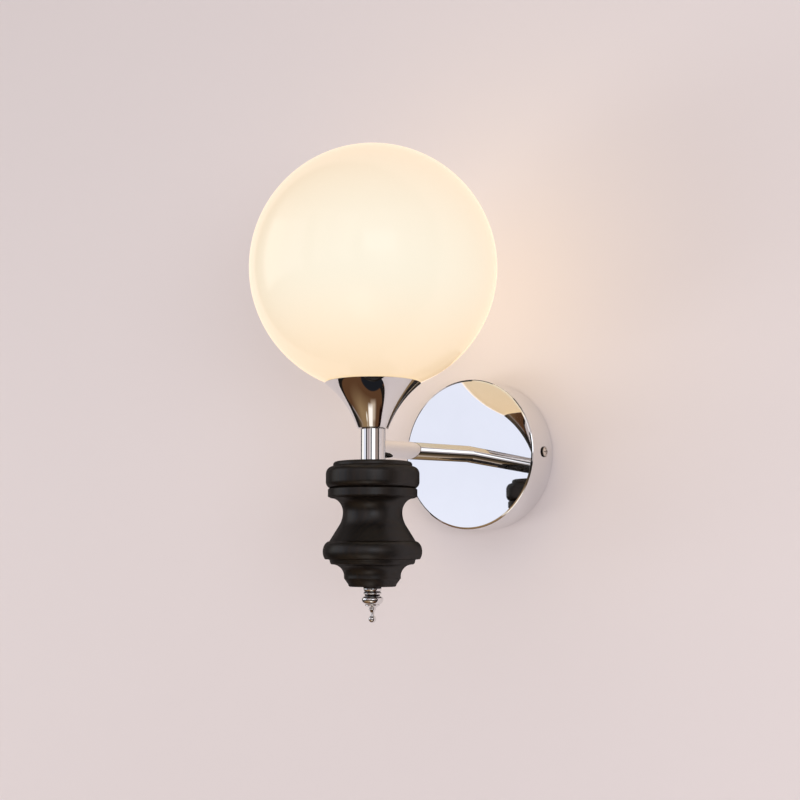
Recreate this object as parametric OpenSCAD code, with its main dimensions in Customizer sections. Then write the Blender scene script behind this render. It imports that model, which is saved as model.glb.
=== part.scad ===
// Wall sconce: opal globe on a trumpet, one arm from a round canopy, turned wood drop.
// The origin is the centre of the canopy's open back, on the wall. +Z is up, the room is -Y.
// The lamp side is drawn from the point where the arm's axis meets the stem's axis.

/* [Canopy] */
// Outside diameter of the canopy
canopy_d = 100; // [90:1:130]
// How far the canopy stands out from the wall
canopy_depth = 26.5; // [25:0.5:38]
// Sheet thickness of the canopy
canopy_wall = 1.2; // [0.8:0.1:2]
// Rounding of the canopy's front edge
canopy_edge_r = 1; // [0.4:0.1:2]
// Diameter of the stiffening plate behind the canopy's face
backing_d = 36; // [20:1:60]
// Thickness of the stiffening plate
backing_t = 2; // [1:0.5:3]

/* [Arm] */
// From the canopy's face to the stem's axis, level
arm_length = 104; // [60:1:200]
// Outside diameter of the arm tube
arm_d = 11; // [10:0.5:13]
// How many degrees the arm falls from the wall to the stem
arm_fall = 2; // [0:0.5:5]

/* [Stem] */
// Outside diameter of the stem tube
stem_d = 15; // [14:0.5:18]
// Wall of the stem tube
stem_wall = 1; // [0.8:0.1:1.4]
// Stem length above the arm's axis
stem_above = 11.5; // [11:0.5:30]
// Stem length in sight below the arm's axis
stem_below = 8.2; // [8:0.1:30]
// How deep the stem stands in the wood
stem_seat = 3; // [1:0.5:5]

/* [Trumpet] */
// Diameter of the trumpet at its foot
trumpet_foot_d = 18.4; // [17:0.2:22]
// Diameter of the trumpet at its rim
trumpet_rim_d = 58; // [54:1:80]
// Height of the trumpet
trumpet_height = 27.7; // [26:0.1:36]
// Radius of the trumpet's hollow flare
flare_r = 60; // [45:1:120]
// Sheet thickness of the trumpet
trumpet_wall = 0.9; // [0.6:0.1:1.2]

/* [Globe] */
// Outside diameter of the glass globe
globe_d = 150; // [120:1:220]
// Thickness of the glass
glass_t = 3; // [2:0.5:5]
// How far the neck reaches below the globe's lowest point
neck_drop = 6.2; // [5:0.1:7]
// Thickness of the neck's glass
neck_wall = 2.6; // [2:0.1:3]

/* [Gallery] */
// Outside diameter of the gallery's thread
gallery_d = 24.4; // [24:0.2:25]
// Wall of the gallery's threaded ring
gallery_wall = 1.5; // [1:0.1:1.6]
// Thickness of the gallery's floor and of its flange
gallery_floor_t = 1.2; // [0.8:0.1:1.6]
// Depth of the gallery below its flange
gallery_depth = 4.1; // [3.6:0.1:4.4]
// Height of the gallery's thread above its flange
gallery_thread_h = 9; // [6:0.5:10]
// Thickness of the soft ring under the neck
gasket_t = 1; // [0.6:0.1:2]

/* [Lampholder and bulb] */
// Diameter of the lampholder's ceramic body
holder_d = 17.2; // [16:0.2:17.6]
// Height of the lampholder's ceramic body
holder_h = 14; // [12:0.5:18]
// From one contact slot's centre to the other
pin_pitch = 9; // [8.6:0.1:9.2]
// Length of the bulb's pins
pin_length = 6.5; // [5:0.5:7]
// Diameter of the bulb's envelope
bulb_d = 16; // [14:0.5:18]
// Length of the bulb above the lampholder
bulb_length = 52; // [40:1:56]

/* [Wood] */
// Largest diameter of the upper wood piece
cap_d = 55.6; // [52:0.2:64]
// Diameter of the upper wood piece's top disc
cap_top_d = 47; // [36:0.5:48]
// Height of the upper wood piece
cap_h = 15.8; // [14:0.2:20]
// Height of the lower wood piece
baluster_h = 57.4; // [54:0.2:80]
// Diameter of the lower piece's top flange
flange_d = 53; // [50:0.5:60]
// Height of the lower piece's top flange
flange_h = 5.5; // [4.5:0.1:7]
// Diameter of the lower piece's waist
waist_d = 35.2; // [28:0.2:38]
// Diameter of the lower piece's bulge
bulge_d = 58.6; // [54:0.2:66]
// Diameter of the fillet under the bulge
fillet_d = 50.2; // [46:0.2:52]
// Diameter of the foot where its hollow ends
foot_d = 33.4; // [28:0.2:36]
// Diameter of the lowest wood face
sole_d = 26.4; // [20:0.2:27]

/* [Finial] */
// Diameter of the grooved collar
collar_d = 11; // [9.6:0.2:14]
// Height of the grooved collar
collar_h = 5.4; // [4:0.1:8]
// Diameter of the finial's bulb
finial_d = 13; // [12:0.2:16]
// Length of the finial
finial_h = 15.5; // [14.5:0.1:22]
// Diameter of the ball at the finial's tip
drop_d = 4.5; // [3:0.1:6]

/* [Wall bracket] */
// Width of the bracket's strap
strap_w = 18; // [16:0.5:24]
// Thickness of the bracket's strap
strap_t = 1.5; // [1:0.1:2]
// From one wall slot's centre to the other
slot_pitch = 60; // [52:1:64]
// Length of a wall slot, end to end
slot_length = 12; // [8:0.5:14]
// Width of a wall slot
slot_w = 5; // [4:0.2:6]
// Diameter of the cable hole
cable_hole_d = 14; // [8:0.5:14]
// From the wall to the axis of the canopy's side screws
side_screw_y = 12; // [9:0.5:14]
// Thread diameter of the canopy's side screws and of the earth screw
screw_d = 4; // [3:0.5:4.5]
// Head diameter of the canopy's side screws
screw_head_d = 7; // [5.6:0.1:8]

/* [Threaded parts] */
// Diameter of the hollow threaded nipples
nipple_d = 8; // [7.4:0.1:8.2]
// Bore of the hollow threaded nipples
nipple_bore = 5.2; // [4.4:0.1:5.6]
// Width across the flats of the nuts on the nipples
nut_flats = 13; // [11:0.5:13]
// Thickness of the nuts on the nipples
nut_t = 3; // [2:0.5:4]
// Diameter of the tie rod
rod_d = 6; // [4:0.5:6]
// How deep a nipple or the rod goes into its tapped hole
thread_depth = 5; // [4:0.1:5]

/* [Leads] */
// Outside diameter of a lead
lead_d = 1.7; // [1:0.1:1.8]
// Sideways step of a lead from the axis of the tubes
lead_step = 1; // [0.95:0.05:1.1]

/* [Hidden] */
$fn = 96;
eps = 0.01;

// Clearances
thread_gap = 0.05;   // between a thread and its tapped hole, on the radius
hole_play = 0.3;     // around a thread in a plain hole, on the radius
slip_gap = 0.1;      // between tubes, plates and blocks that slide into place
rim_gap = 0.3;       // from the trumpet's rim up to the globe
neck_play = 0.3;     // between the gallery's thread and the neck
ear_gap = 0.5;       // from an ear's corners to the inside of the canopy

// Small parts of fixed size
washer_t = 0.8;
tag_t = 0.8;
nut_proud = 1.5;     // thread in sight past a nut
side_screw_l = 8;    // screw length under the head
head_h = 2.2;

// Canopy and arm
canopy_r = canopy_d / 2;
canopy_in_r = canopy_r - canopy_wall;
nipple_r = nipple_d / 2;
nipple_hole_r = nipple_r + hole_play;
tapped_r = nipple_r + thread_gap;
bore_r = nipple_bore / 2;
arm_drop = arm_length * tan(arm_fall);
lamp_y = -(canopy_depth + arm_length);
arm_run = arm_length / cos(arm_fall);
washer_at = backing_t;
tag_at = washer_at + washer_t;
nut_at = tag_at + tag_t;
nipple_back = canopy_wall + nut_at + nut_t + nut_proud;
arm_grip = 11;       // thread length of a nipple inside the arm
corner_gap = 0.6;    // from the coupler's bore to the end of the arm's nipple

// Stem and coupler
stem_r = stem_d / 2;
coupler_r = stem_r - stem_wall - slip_gap;
coupler_top = stem_above - stem_wall;
stem_foot = -(stem_below + stem_seat);
coupler_foot = stem_foot + slip_gap;

// Trumpet, gallery and globe, as heights above the arm's axis
foot_r = trumpet_foot_d / 2;
rim_r = trumpet_rim_d / 2;
globe_r = globe_d / 2;
rim_z = stem_above + trumpet_height;
flare_c = arc_centre([foot_r, 0], [rim_r, trumpet_height], flare_r);
flare_in_r = flare_r + trumpet_wall;
rim_in_r = flare_c.x - sqrt(pow(flare_in_r, 2) - pow(trumpet_height - flare_c.y, 2));
globe_z = rim_z + rim_gap + sqrt(pow(globe_r, 2) - pow(rim_in_r, 2));
neck_foot = globe_z - globe_r - neck_drop;
flange_top = neck_foot - gasket_t;
gallery_foot = flange_top - gallery_floor_t - gallery_depth;
gallery_r = gallery_d / 2;
neck_in_r = gallery_r + neck_play;
neck_out_r = neck_in_r + neck_wall;
flange_r = neck_out_r - 0.4;
strap_at = gallery_foot + gallery_floor_t;
holder_strap_t = 0.8;
holder_strap_w = 8;
top_nut_at = strap_at + holder_strap_t;
lamp_nipple_top = top_nut_at + nut_t + 0.7;

// Lampholder and bulb
holder_r = holder_d / 2;
holder_foot = lamp_nipple_top + 0.5;
holder_top = holder_foot + holder_h;
holder_cavity_h = 5;
holder_cavity_w = 9.2;
holder_skin = 1.6;   // ceramic left around the cavity
holder_edge = 0.6;
rivet_r = 1;
rivet_z = holder_foot + holder_cavity_h;
slot_x = 4.2;
slot_y = 3;
pin_wire_r = 0.35;
leaf_w = slot_x - 4 * slip_gap;
leaf_t = 0.3;
leaf_y = pin_wire_r + slip_gap;
tail_w = 1.6;
bulb_foot = holder_top + slip_gap;
bulb_base_h = 10;
bulb_plate_h = 2;
bulb_r = bulb_d / 2;
bulb_glass_t = 1;
bulb_collar_r = bulb_r - bulb_glass_t - slip_gap;
bulb_collar_h = 2;
bulb_top = bulb_foot + bulb_length;

// Wood and finial, as heights above the arm's axis
wood_top = -stem_below;
joint_z = wood_top - cap_h;
sole_z = joint_z - baluster_h;
rod_r = rod_d / 2;
rod_hole_r = rod_r + hole_play;
spigot_r = 10;
spigot_h = 3;
collar_z = sole_z - collar_h;
finial_z = collar_z - slip_gap;
rod_end = finial_z - 4.2;

// Wall bracket and terminal block
ear_w = 14;
ear_x = sqrt(pow(canopy_in_r, 2) - pow(ear_w / 2, 2)) - ear_gap;
ear_l = side_screw_y + 5;
bend_r = 1.5;
block_x = -cable_hole_d / 2 - 8;
block_w = 11;
block_y = 13;
way_pitch = 9.5;
way_slit = [4, 1];   // depth and width of the slits between the ways
block_h = 3 * way_pitch;
tube_r = 2.3;
tube_bore_r = 1.5;
clamp_x = 2.6;       // from the middle of a way to its clamp screws
clamp_r = 1.1;
clamp_head_r = 1.6;
fixing_r = 1.5;
fixing_head_r = 2.7;
fixing_sink = 5;
earth_x = cable_hole_d / 2 + 8;
earth_head_r = 3.8;
earth_eye_r = screw_d / 2 + 2.2;
canopy_eye_r = nipple_r + 3;
barrel_r = lead_d / 2 + 0.4;
barrel_l = 5;
barrel_start = 1;    // from a tag's eye to its barrel

// Points of an elliptic arc about c, with half axes a and b, from one angle to another
function arc(c, a, b, from, to, n = 8) =
    [for (i = [0 : n]) let (t = from + (to - from) * i / n) [c.x + a * cos(t), c.y + b * sin(t)]];

// Centre of the arc of radius r from p to q that bends away from the axis
function arc_centre(p, q, r) =
    let (d = norm(q - p), u = (q - p) / d)
    (p + q) / 2 + [u.y, -u.x] * sqrt(r * r - d * d / 4);

// Angle of point p seen from c
function angle_of(p, c) = atan2(p.y - c.y, p.x - c.x);

// Draws its children in the frame whose origin is where the arm meets the stem
module at_lamp() {
    translate([0, lamp_y, -arm_drop]) children();
}

// Draws its children along the arm: local +Z runs from the canopy's face to the stem
module along_arm() {
    translate([0, -canopy_depth, 0]) rotate([90 + arm_fall, 0, 0]) children();
}

// In the lamp's frame: local +Z runs from the stem back along the arm
module toward_wall() {
    rotate([arm_fall - 90, 0, 0]) children();
}

// A flat piece of thickness t that lies d behind the canopy's sheet, centred on the nipple
module behind_face(d, t) {
    back = canopy_wall + d + t;
    rise = (back - t / 2) * tan(arm_fall);
    translate([0, back - canopy_depth, rise]) rotate([90, 0, 0]) children();
}

module tube(r_out, r_in, h) {
    difference() {
        cylinder(r = r_out, h = h);
        translate([0, 0, -eps]) cylinder(r = r_in, h = h + 2 * eps);
    }
}

module nut(flats, r_in, h) {
    difference() {
        cylinder(r = flats / 2 / cos(30), h = h, $fn = 6);
        translate([0, 0, -eps]) cylinder(r = r_in, h = h + 2 * eps);
    }
}

// A round screw: the head stands on z = 0, the thread hangs below, with a cross recess
module screw(thread_r, l, head_r, h) {
    side_h = h * 0.45;
    crown_r = head_r * 0.72;
    recess = [head_r * 1.16, head_r * 0.26, h];
    recess_z = h * 0.4;
    difference() {
        union() {
            translate([0, 0, -l]) cylinder(r = thread_r, h = l + eps);
            cylinder(r = head_r, h = side_h);
            translate([0, 0, side_h]) cylinder(r1 = head_r, r2 = crown_r, h = h - side_h);
        }
        for (a = [0, 90]) rotate([0, 0, a])
            translate([-recess.x / 2, -recess.y / 2, recess_z]) cube(recess);
    }
}

// A ring tag: a flat eye with a barrel for the lead along +Y
module ring_tag(hole_r, eye_r) {
    tongue_l = eye_r + barrel_start + 0.5;
    difference() {
        union() {
            cylinder(r = eye_r, h = tag_t);
            translate([-barrel_r, 0, 0]) cube([2 * barrel_r, tongue_l, tag_t]);
        }
        translate([0, 0, -eps]) cylinder(r = hole_r, h = 2 * tag_t);
    }
    translate([0, eye_r + barrel_start, barrel_r]) rotate([-90, 0, 0])
        tube(barrel_r, lead_d / 2 + 0.02, barrel_l);
}

// Wall side

module wall_bracket() {
    color([0.72, 0.72, 0.74]) difference() {
        union() {
            translate([-ear_x + bend_r, -strap_t, -strap_w / 2])
                cube([2 * (ear_x - bend_r), strap_t, strap_w]);
            for (s = [-1, 1]) {
                translate([s * (ear_x - strap_t / 2) - strap_t / 2, -ear_l, -ear_w / 2])
                    cube([strap_t, ear_l - bend_r, ear_w]);
                intersection() {
                    translate([s * (ear_x - bend_r), -bend_r, -ear_w / 2])
                        cylinder(r = bend_r, h = ear_w);
                    translate([s * (ear_x - bend_r / 2) - bend_r / 2, -bend_r, -ear_w / 2])
                        cube([bend_r, bend_r, ear_w]);
                }
            }
        }
        for (s = [-1, 1]) {
            translate([s * slot_pitch / 2, 0, 0]) wall_slot();
            translate([s * ear_x, -side_screw_y, 0]) rotate([0, 90, 0])
                cylinder(r = screw_d / 2 + thread_gap, h = 4 * strap_t, center = true);
            translate([block_x, eps, s * way_pitch / 2]) rotate([90, 0, 0])
                cylinder(r = fixing_r + thread_gap, h = strap_t + 2 * eps);
        }
        translate([0, eps, 0]) rotate([90, 0, 0])
            cylinder(r = cable_hole_d / 2, h = strap_t + 2 * eps);
        translate([earth_x, eps, 0]) rotate([90, 0, 0])
            cylinder(r = screw_d / 2 + thread_gap, h = strap_t + 2 * eps);
    }
}

// One slot through the strap, its long side level
module wall_slot() {
    run = slot_length - slot_w;
    for (s = [-1, 1]) translate([s * run / 2, eps, 0]) rotate([90, 0, 0])
        cylinder(r = slot_w / 2, h = strap_t + 2 * eps);
    translate([-run / 2, -strap_t - eps, -slot_w / 2]) cube([run, strap_t + 2 * eps, slot_w]);
}

module earth_screw() {
    color([0.75, 0.74, 0.7]) translate([earth_x, -strap_t - tag_t, 0]) rotate([90, 0, 0])
        screw(screw_d / 2, strap_t + tag_t, earth_head_r, head_h);
}

// Draws its children once for each of the three ways of the terminal block
module each_way() {
    for (k = [-1, 0, 1]) translate([block_x, -strap_t - block_y / 2, k * way_pitch]) children();
}

module terminal_block() {
    color([0.93, 0.92, 0.88]) difference() {
        translate([block_x - block_w / 2, -strap_t - block_y, -block_h / 2])
            cube([block_w, block_y, block_h]);
        each_way() {
            rotate([0, 90, 0]) cylinder(r = tube_r + slip_gap, h = block_w + 1, center = true);
            for (s = [-1, 1]) translate([s * clamp_x, 0, 0]) rotate([90, 0, 0])
                cylinder(r = clamp_head_r + 2 * slip_gap, h = block_y);
        }
        for (s = [-1, 1]) translate([block_x, -strap_t - block_y, s * way_pitch / 2]) {
            rotate([-90, 0, 0]) cylinder(r = fixing_r + hole_play, h = 2 * block_y);
            rotate([-90, 0, 0]) cylinder(r = fixing_head_r + 2 * slip_gap, h = fixing_sink);
            translate([-block_w, -eps, -way_slit.y / 2]) cube([2 * block_w, way_slit.x, way_slit.y]);
        }
    }
}

module terminal_tubes() {
    color([0.8, 0.66, 0.32]) each_way() difference() {
        rotate([0, 90, 0]) cylinder(r = tube_r, h = block_w - 2, center = true);
        rotate([0, 90, 0]) cylinder(r = tube_bore_r, h = block_w, center = true);
        for (s = [-1, 1]) translate([s * clamp_x, 0, 0]) rotate([90, 0, 0])
            cylinder(r = clamp_r + thread_gap, h = block_y);
    }
}

module terminal_screws() {
    color([0.75, 0.74, 0.7]) each_way() for (s = [-1, 1])
        translate([s * clamp_x, -tube_r - 2 * slip_gap, 0]) rotate([90, 0, 0])
            screw(clamp_r, clamp_head_r, clamp_head_r, 1.5);
}

module terminal_fixings() {
    color([0.75, 0.74, 0.7]) for (s = [-1, 1])
        translate([block_x, fixing_sink - strap_t - block_y, s * way_pitch / 2])
            rotate([90, 0, 0])
                screw(fixing_r, block_y - fixing_sink + strap_t, fixing_head_r, 1.8);
}

module canopy() {
    edge = min(canopy_edge_r, canopy_wall);
    face = [canopy_r - edge, canopy_depth - edge];
    color([0.88, 0.89, 0.92]) difference() {
        rotate([90, 0, 0]) rotate_extrude() polygon(concat(
            [[canopy_r, 0]],
            arc(face, edge, edge, 0, 90, 6),
            [[0, canopy_depth], [0, canopy_depth - canopy_wall],
             [canopy_in_r, canopy_depth - canopy_wall], [canopy_in_r, 0]]));
        translate([0, -canopy_depth + 2 * canopy_wall, 0]) rotate([90, 0, 0])
            cylinder(r = nipple_hole_r, h = 4 * canopy_wall);
        translate([0, -side_screw_y, 0]) rotate([0, 90, 0])
            cylinder(r = screw_d / 2 + hole_play, h = 2 * canopy_d, center = true);
    }
}

// s is 1 for the right side screw and -1 for the left one
module side_screw(s) {
    translate([s * canopy_r, -side_screw_y, 0]) rotate([0, s * 90, 0])
        screw(screw_d / 2, side_screw_l, screw_head_d / 2, head_h);
}

module canopy_screw_right() {
    color([0.8, 0.76, 0.72]) side_screw(1);
}

module canopy_screw_left() {
    color([0.8, 0.76, 0.72]) side_screw(-1);
}

module backing_plate() {
    color([0.7, 0.7, 0.72]) behind_face(0, backing_t)
        tube(backing_d / 2, nipple_hole_r, backing_t);
}

module lock_washer() {
    rim = nipple_r + 2.8;
    notch = [2, 1, 2 * washer_t];
    color([0.7, 0.7, 0.72]) behind_face(washer_at, washer_t) difference() {
        tube(rim, nipple_hole_r, washer_t);
        for (a = [0 : 30 : 330]) rotate([0, 0, a])
            translate([rim - notch.x / 2, -notch.y / 2, -eps]) cube(notch);
    }
}

module canopy_nut() {
    color([0.8, 0.68, 0.36]) behind_face(nut_at, nut_t)
        nut(nut_flats, tapped_r + nut_t * tan(arm_fall), nut_t);
}

module canopy_nipple() {
    color([0.8, 0.68, 0.36]) along_arm() translate([0, 0, -nipple_back / cos(arm_fall)])
        tube(nipple_r, bore_r, nipple_back / cos(arm_fall) + arm_grip);
}

module earth_tags() {
    color([0.75, 0.75, 0.72]) {
        translate([earth_x, -strap_t, 0]) rotate([90, 0, 0])
            ring_tag(screw_d / 2 + slip_gap, earth_eye_r);
        behind_face(tag_at, tag_t) mirror([0, 0, 1]) translate([0, 0, -tag_t])
            rotate([0, 0, -90]) ring_tag(nipple_hole_r, canopy_eye_r);
    }
}

// Arm and stem

module arm() {
    color([0.86, 0.86, 0.88]) difference() {
        along_arm() translate([0, 0, -canopy_wall])
            tube(arm_d / 2, tapped_r, arm_run + canopy_wall);
        translate([-arm_d, -canopy_depth, -arm_d]) cube([2 * arm_d, 2 * canopy_wall, 2 * arm_d]);
        at_lamp() cylinder(r = stem_r, h = 4 * arm_d, center = true);
    }
}

module arm_end_nipple() {
    start = bore_r + corner_gap;
    color([0.8, 0.68, 0.36]) at_lamp() toward_wall() translate([0, 0, start])
        tube(nipple_r, bore_r, stem_r + arm_grip - start);
}

module coupler() {
    color([0.8, 0.68, 0.36]) at_lamp() difference() {
        translate([0, 0, coupler_foot]) cylinder(r = coupler_r, h = coupler_top - coupler_foot);
        toward_wall() cylinder(r = tapped_r, h = stem_d);
        translate([0, 0, -bore_r]) cylinder(r = bore_r, h = stem_above + bore_r);
        translate([0, 0, coupler_top - thread_depth]) cylinder(r = tapped_r, h = 2 * thread_depth);
        translate([0, 0, coupler_foot - thread_depth])
            cylinder(r = rod_r + thread_gap, h = 2 * thread_depth);
    }
}

module stem() {
    color([0.86, 0.86, 0.88]) at_lamp() difference() {
        translate([0, 0, stem_foot]) tube(stem_r, stem_r - stem_wall, stem_above - stem_foot);
        toward_wall() cylinder(r = nipple_hole_r, h = stem_d);
    }
}

module lamp_nipple() {
    foot = coupler_top - thread_depth;
    color([0.8, 0.68, 0.36]) at_lamp() translate([0, 0, foot])
        tube(nipple_r, bore_r, lamp_nipple_top - foot);
}

// Trumpet, gallery and globe

module trumpet() {
    foot = [foot_r, 0];
    rim = [rim_r, trumpet_height];
    from = angle_of(foot, flare_c);
    to = angle_of(rim, flare_c);
    outside = arc(flare_c, flare_r, flare_r, from, to, 20);
    inside = arc(flare_c, flare_in_r, flare_in_r, to, from, 20);
    color([0.82, 0.8, 0.78]) at_lamp() translate([0, 0, stem_above]) difference() {
        rotate_extrude() {
            polygon(concat(outside, inside));
            polygon([[0, 0], foot, inside[19], [0, trumpet_wall]]);
        }
        translate([0, 0, -eps]) cylinder(r = nipple_hole_r, h = 4 * trumpet_wall);
        translate([0, 0, trumpet_height]) cylinder(r = rim_r + 1, h = 2);
    }
}

module gallery_spacer() {
    foot = stem_above + 2 * trumpet_wall;
    color([0.8, 0.68, 0.36]) at_lamp() translate([0, 0, foot])
        tube(nipple_r + 2, nipple_hole_r, gallery_foot - foot);
}

module gallery() {
    h = flange_top + gallery_thread_h - gallery_foot;
    color([0.78, 0.78, 0.8]) at_lamp() difference() {
        union() {
            translate([0, 0, gallery_foot]) cylinder(r = gallery_r, h = h);
            translate([0, 0, flange_top - gallery_floor_t])
                cylinder(r = flange_r, h = gallery_floor_t);
        }
        translate([0, 0, strap_at]) cylinder(r = gallery_r - gallery_wall, h = h);
        translate([0, 0, gallery_foot - eps]) cylinder(r = nipple_hole_r, h = h);
    }
}

module gallery_nut() {
    color([0.8, 0.68, 0.36]) at_lamp() translate([0, 0, top_nut_at])
        nut(nut_flats, tapped_r, nut_t);
}

module gasket() {
    color([0.9, 0.9, 0.86]) at_lamp() translate([0, 0, flange_top])
        tube(flange_r, gallery_r + neck_play, gasket_t);
}

module globe() {
    neck_top = globe_z - sqrt(pow(globe_r - glass_t, 2) - pow(neck_out_r, 2));
    color([1, 0.93, 0.8]) at_lamp() difference() {
        union() {
            translate([0, 0, globe_z]) sphere(r = globe_r);
            translate([0, 0, neck_foot]) cylinder(r = neck_out_r, h = neck_top - neck_foot);
        }
        translate([0, 0, globe_z]) sphere(r = globe_r - glass_t);
        translate([0, 0, neck_foot - eps]) cylinder(r = neck_in_r, h = neck_drop + 3 * glass_t);
    }
}

// Lampholder and bulb

// The strap holds the ceramic body between its two legs
module holder_strap() {
    w = holder_strap_w;
    leg_y = holder_r + slip_gap;
    leg_h = rivet_z + 3 - strap_at;
    color([0.75, 0.75, 0.77]) at_lamp() translate([0, 0, strap_at]) difference() {
        union() {
            translate([-w / 2, -leg_y - holder_strap_t, 0])
                cube([w, 2 * (leg_y + holder_strap_t), holder_strap_t]);
            cylinder(r = nipple_r + 3, h = holder_strap_t);
            for (s = [-1, 1])
                translate([-w / 2, s * (leg_y + holder_strap_t / 2) - holder_strap_t / 2, 0])
                    cube([w, holder_strap_t, leg_h]);
        }
        translate([0, 0, -eps]) cylinder(r = nipple_hole_r, h = 2 * holder_strap_t);
        translate([0, 0, rivet_z - strap_at]) rotate([90, 0, 0])
            cylinder(r = rivet_r + slip_gap, h = 4 * leg_y, center = true);
    }
}

module lampholder() {
    color([0.95, 0.94, 0.9]) at_lamp() difference() {
        translate([0, 0, holder_foot]) union() {
            cylinder(r = holder_r, h = holder_h - holder_edge);
            translate([0, 0, holder_h - holder_edge])
                cylinder(r1 = holder_r, r2 = holder_r - holder_edge, h = holder_edge);
        }
        translate([0, 0, holder_foot - eps]) intersection() {
            cylinder(r = holder_r - holder_skin, h = holder_cavity_h);
            translate([-holder_r, -holder_cavity_w / 2, 0])
                cube([holder_d, holder_cavity_w, holder_cavity_h]);
        }
        for (s = [-1, 1]) {
            translate([s * pin_pitch / 2 - slot_x / 2, -slot_y / 2, holder_foot + eps])
                cube([slot_x, slot_y, holder_h]);
            translate([0, s * (holder_r + 1), rivet_z]) rotate([s * 90, 0, 0])
                cylinder(r = rivet_r + slip_gap, h = 3.6);
        }
    }
}

module holder_rivets() {
    out = holder_r + slip_gap + holder_strap_t;
    color([0.78, 0.78, 0.78]) at_lamp() for (s = [-1, 1])
        translate([0, s * out, rivet_z]) rotate([s * 90, 0, 0]) {
            cylinder(r = rivet_r, h = out - holder_r + 2 * rivet_r);
            translate([0, 0, -rivet_r / 2]) cylinder(r = 1.9 * rivet_r, h = rivet_r / 2);
        }
}

// Each contact is a folded strip: two leaves, the floor between them, and a tail for the lead
module holder_contacts() {
    floor_z = holder_top - pin_length - 0.8;
    leaf_top = holder_top - 1;
    tail_foot = holder_foot + 2.4;
    color([0.82, 0.7, 0.4]) at_lamp() for (s = [-1, 1]) translate([s * pin_pitch / 2, 0, 0]) {
        for (u = [-1, 1])
            translate([-leaf_w / 2, u * (leaf_y + leaf_t / 2) - leaf_t / 2, floor_z])
                cube([leaf_w, leaf_t, leaf_top - floor_z]);
        translate([-leaf_w / 2, -leaf_y - leaf_t, floor_z - leaf_t])
            cube([leaf_w, 2 * (leaf_y + leaf_t), leaf_t]);
        translate([-tail_w / 2, -leaf_t / 2, tail_foot])
            cube([tail_w, leaf_t, floor_z - tail_foot]);
    }
}

module bulb_base() {
    pinch_w = bulb_d * 0.72;
    color([0.94, 0.94, 0.92]) at_lamp() translate([0, 0, bulb_foot]) {
        intersection() {
            cylinder(r = bulb_r, h = bulb_base_h);
            translate([-bulb_r, -pinch_w / 2, 0]) cube([bulb_d, pinch_w, bulb_base_h]);
        }
        translate([0, 0, bulb_base_h - bulb_plate_h]) cylinder(r = bulb_r, h = bulb_plate_h);
        translate([0, 0, bulb_base_h]) cylinder(r = bulb_collar_r, h = bulb_collar_h);
    }
}

// Each pin is a wire loop: two legs and a half ring under them
module bulb_pins() {
    wire_r = pin_wire_r;
    loop_r = 1.1;
    color([0.75, 0.75, 0.75]) at_lamp() for (s = [-1, 1])
        translate([s * pin_pitch / 2, 0, bulb_foot]) {
            for (u = [-1, 1]) translate([u * loop_r, 0, loop_r - pin_length])
                cylinder(r = wire_r, h = pin_length - loop_r, $fn = 24);
            translate([0, 0, loop_r - pin_length]) rotate([90, 0, 0]) difference() {
                rotate_extrude($fn = 48) translate([loop_r, 0]) circle(r = wire_r, $fn = 24);
                translate([-2, 0, -1]) cube([4, 2, 2]);
            }
        }
}

// The light column inside the bulb, with its rows of light chips
module bulb_column() {
    foot = bulb_foot + bulb_base_h + bulb_collar_h;
    h = bulb_length - bulb_base_h - bulb_collar_h - bulb_r;
    column_r = bulb_r / 2;
    chip = [0.6, 2, 3];
    chip_pitch = 2 * chip.z;
    color([0.95, 0.93, 0.85]) at_lamp() translate([0, 0, foot]) {
        cylinder(r = column_r, h = h, $fn = 6);
        for (a = [30 : 60 : 330], z = [chip.z : chip_pitch : h - chip.z]) rotate([0, 0, a])
            translate([column_r * cos(30) - eps, -chip.y / 2, z]) cube(chip);
    }
}

module bulb_envelope() {
    foot = bulb_foot + bulb_base_h;
    dome_z = bulb_top - bulb_r;
    color([0.98, 0.96, 0.9]) at_lamp() difference() {
        union() {
            translate([0, 0, foot]) cylinder(r = bulb_r, h = dome_z - foot);
            translate([0, 0, dome_z]) sphere(r = bulb_r);
        }
        translate([0, 0, foot - eps]) cylinder(r = bulb_r - bulb_glass_t, h = dome_z - foot + eps);
        translate([0, 0, dome_z]) sphere(r = bulb_r - bulb_glass_t);
    }
}

// Leads

function unit(v) = v / norm(v);

// Direction of the route p at each of its points
function headings(p) =
    [for (i = [0 : len(p) - 1]) unit(p[min(i + 1, len(p) - 1)] - p[max(i - 1, 0)])];

// Carries a side direction along the headings, without twist
function sides_along(t, side, i = 0, out = []) =
    i == len(t) ? out :
    let (s = unit(side - (side * t[i]) * t[i])) sides_along(t, s, i + 1, concat(out, [s]));

// A smooth curve through the points p, with n steps from each point to the next
function smooth(p, n = 3) = concat(
    [for (i = [0 : len(p) - 2], k = [0 : n - 1])
        let (a = p[max(i - 1, 0)], b = p[i], c = p[i + 1], d = p[min(i + 2, len(p) - 1)], u = k / n)
        0.5 * (2 * b + (c - a) * u + (2 * a - 5 * b + 4 * c - d) * u * u
            + (3 * b - a - 3 * c + d) * u * u * u)],
    [p[len(p) - 1]]);

module lead(p, r, sides = 8) {
    t = headings(p);
    side = sides_along(t, abs(t[0].x) < 0.9 ? [1, 0, 0] : [0, 0, 1]);
    n = len(p);
    points = [for (i = [0 : n - 1], k = [0 : sides - 1]) let (a = 360 * k / sides)
        p[i] + r * (side[i] * cos(a) + cross(t[i], side[i]) * sin(a))];
    walls = [for (i = [0 : n - 2], k = [0 : sides - 1])
        let (a = i * sides + k, b = i * sides + (k + 1) % sides) [a, a + sides, b + sides, b]];
    start = [for (k = [0 : sides - 1]) k];
    end = [for (k = [sides - 1 : -1 : 0]) (n - 1) * sides + k];
    polyhedron(points = points, faces = concat([start], walls, [end]));
}

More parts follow.
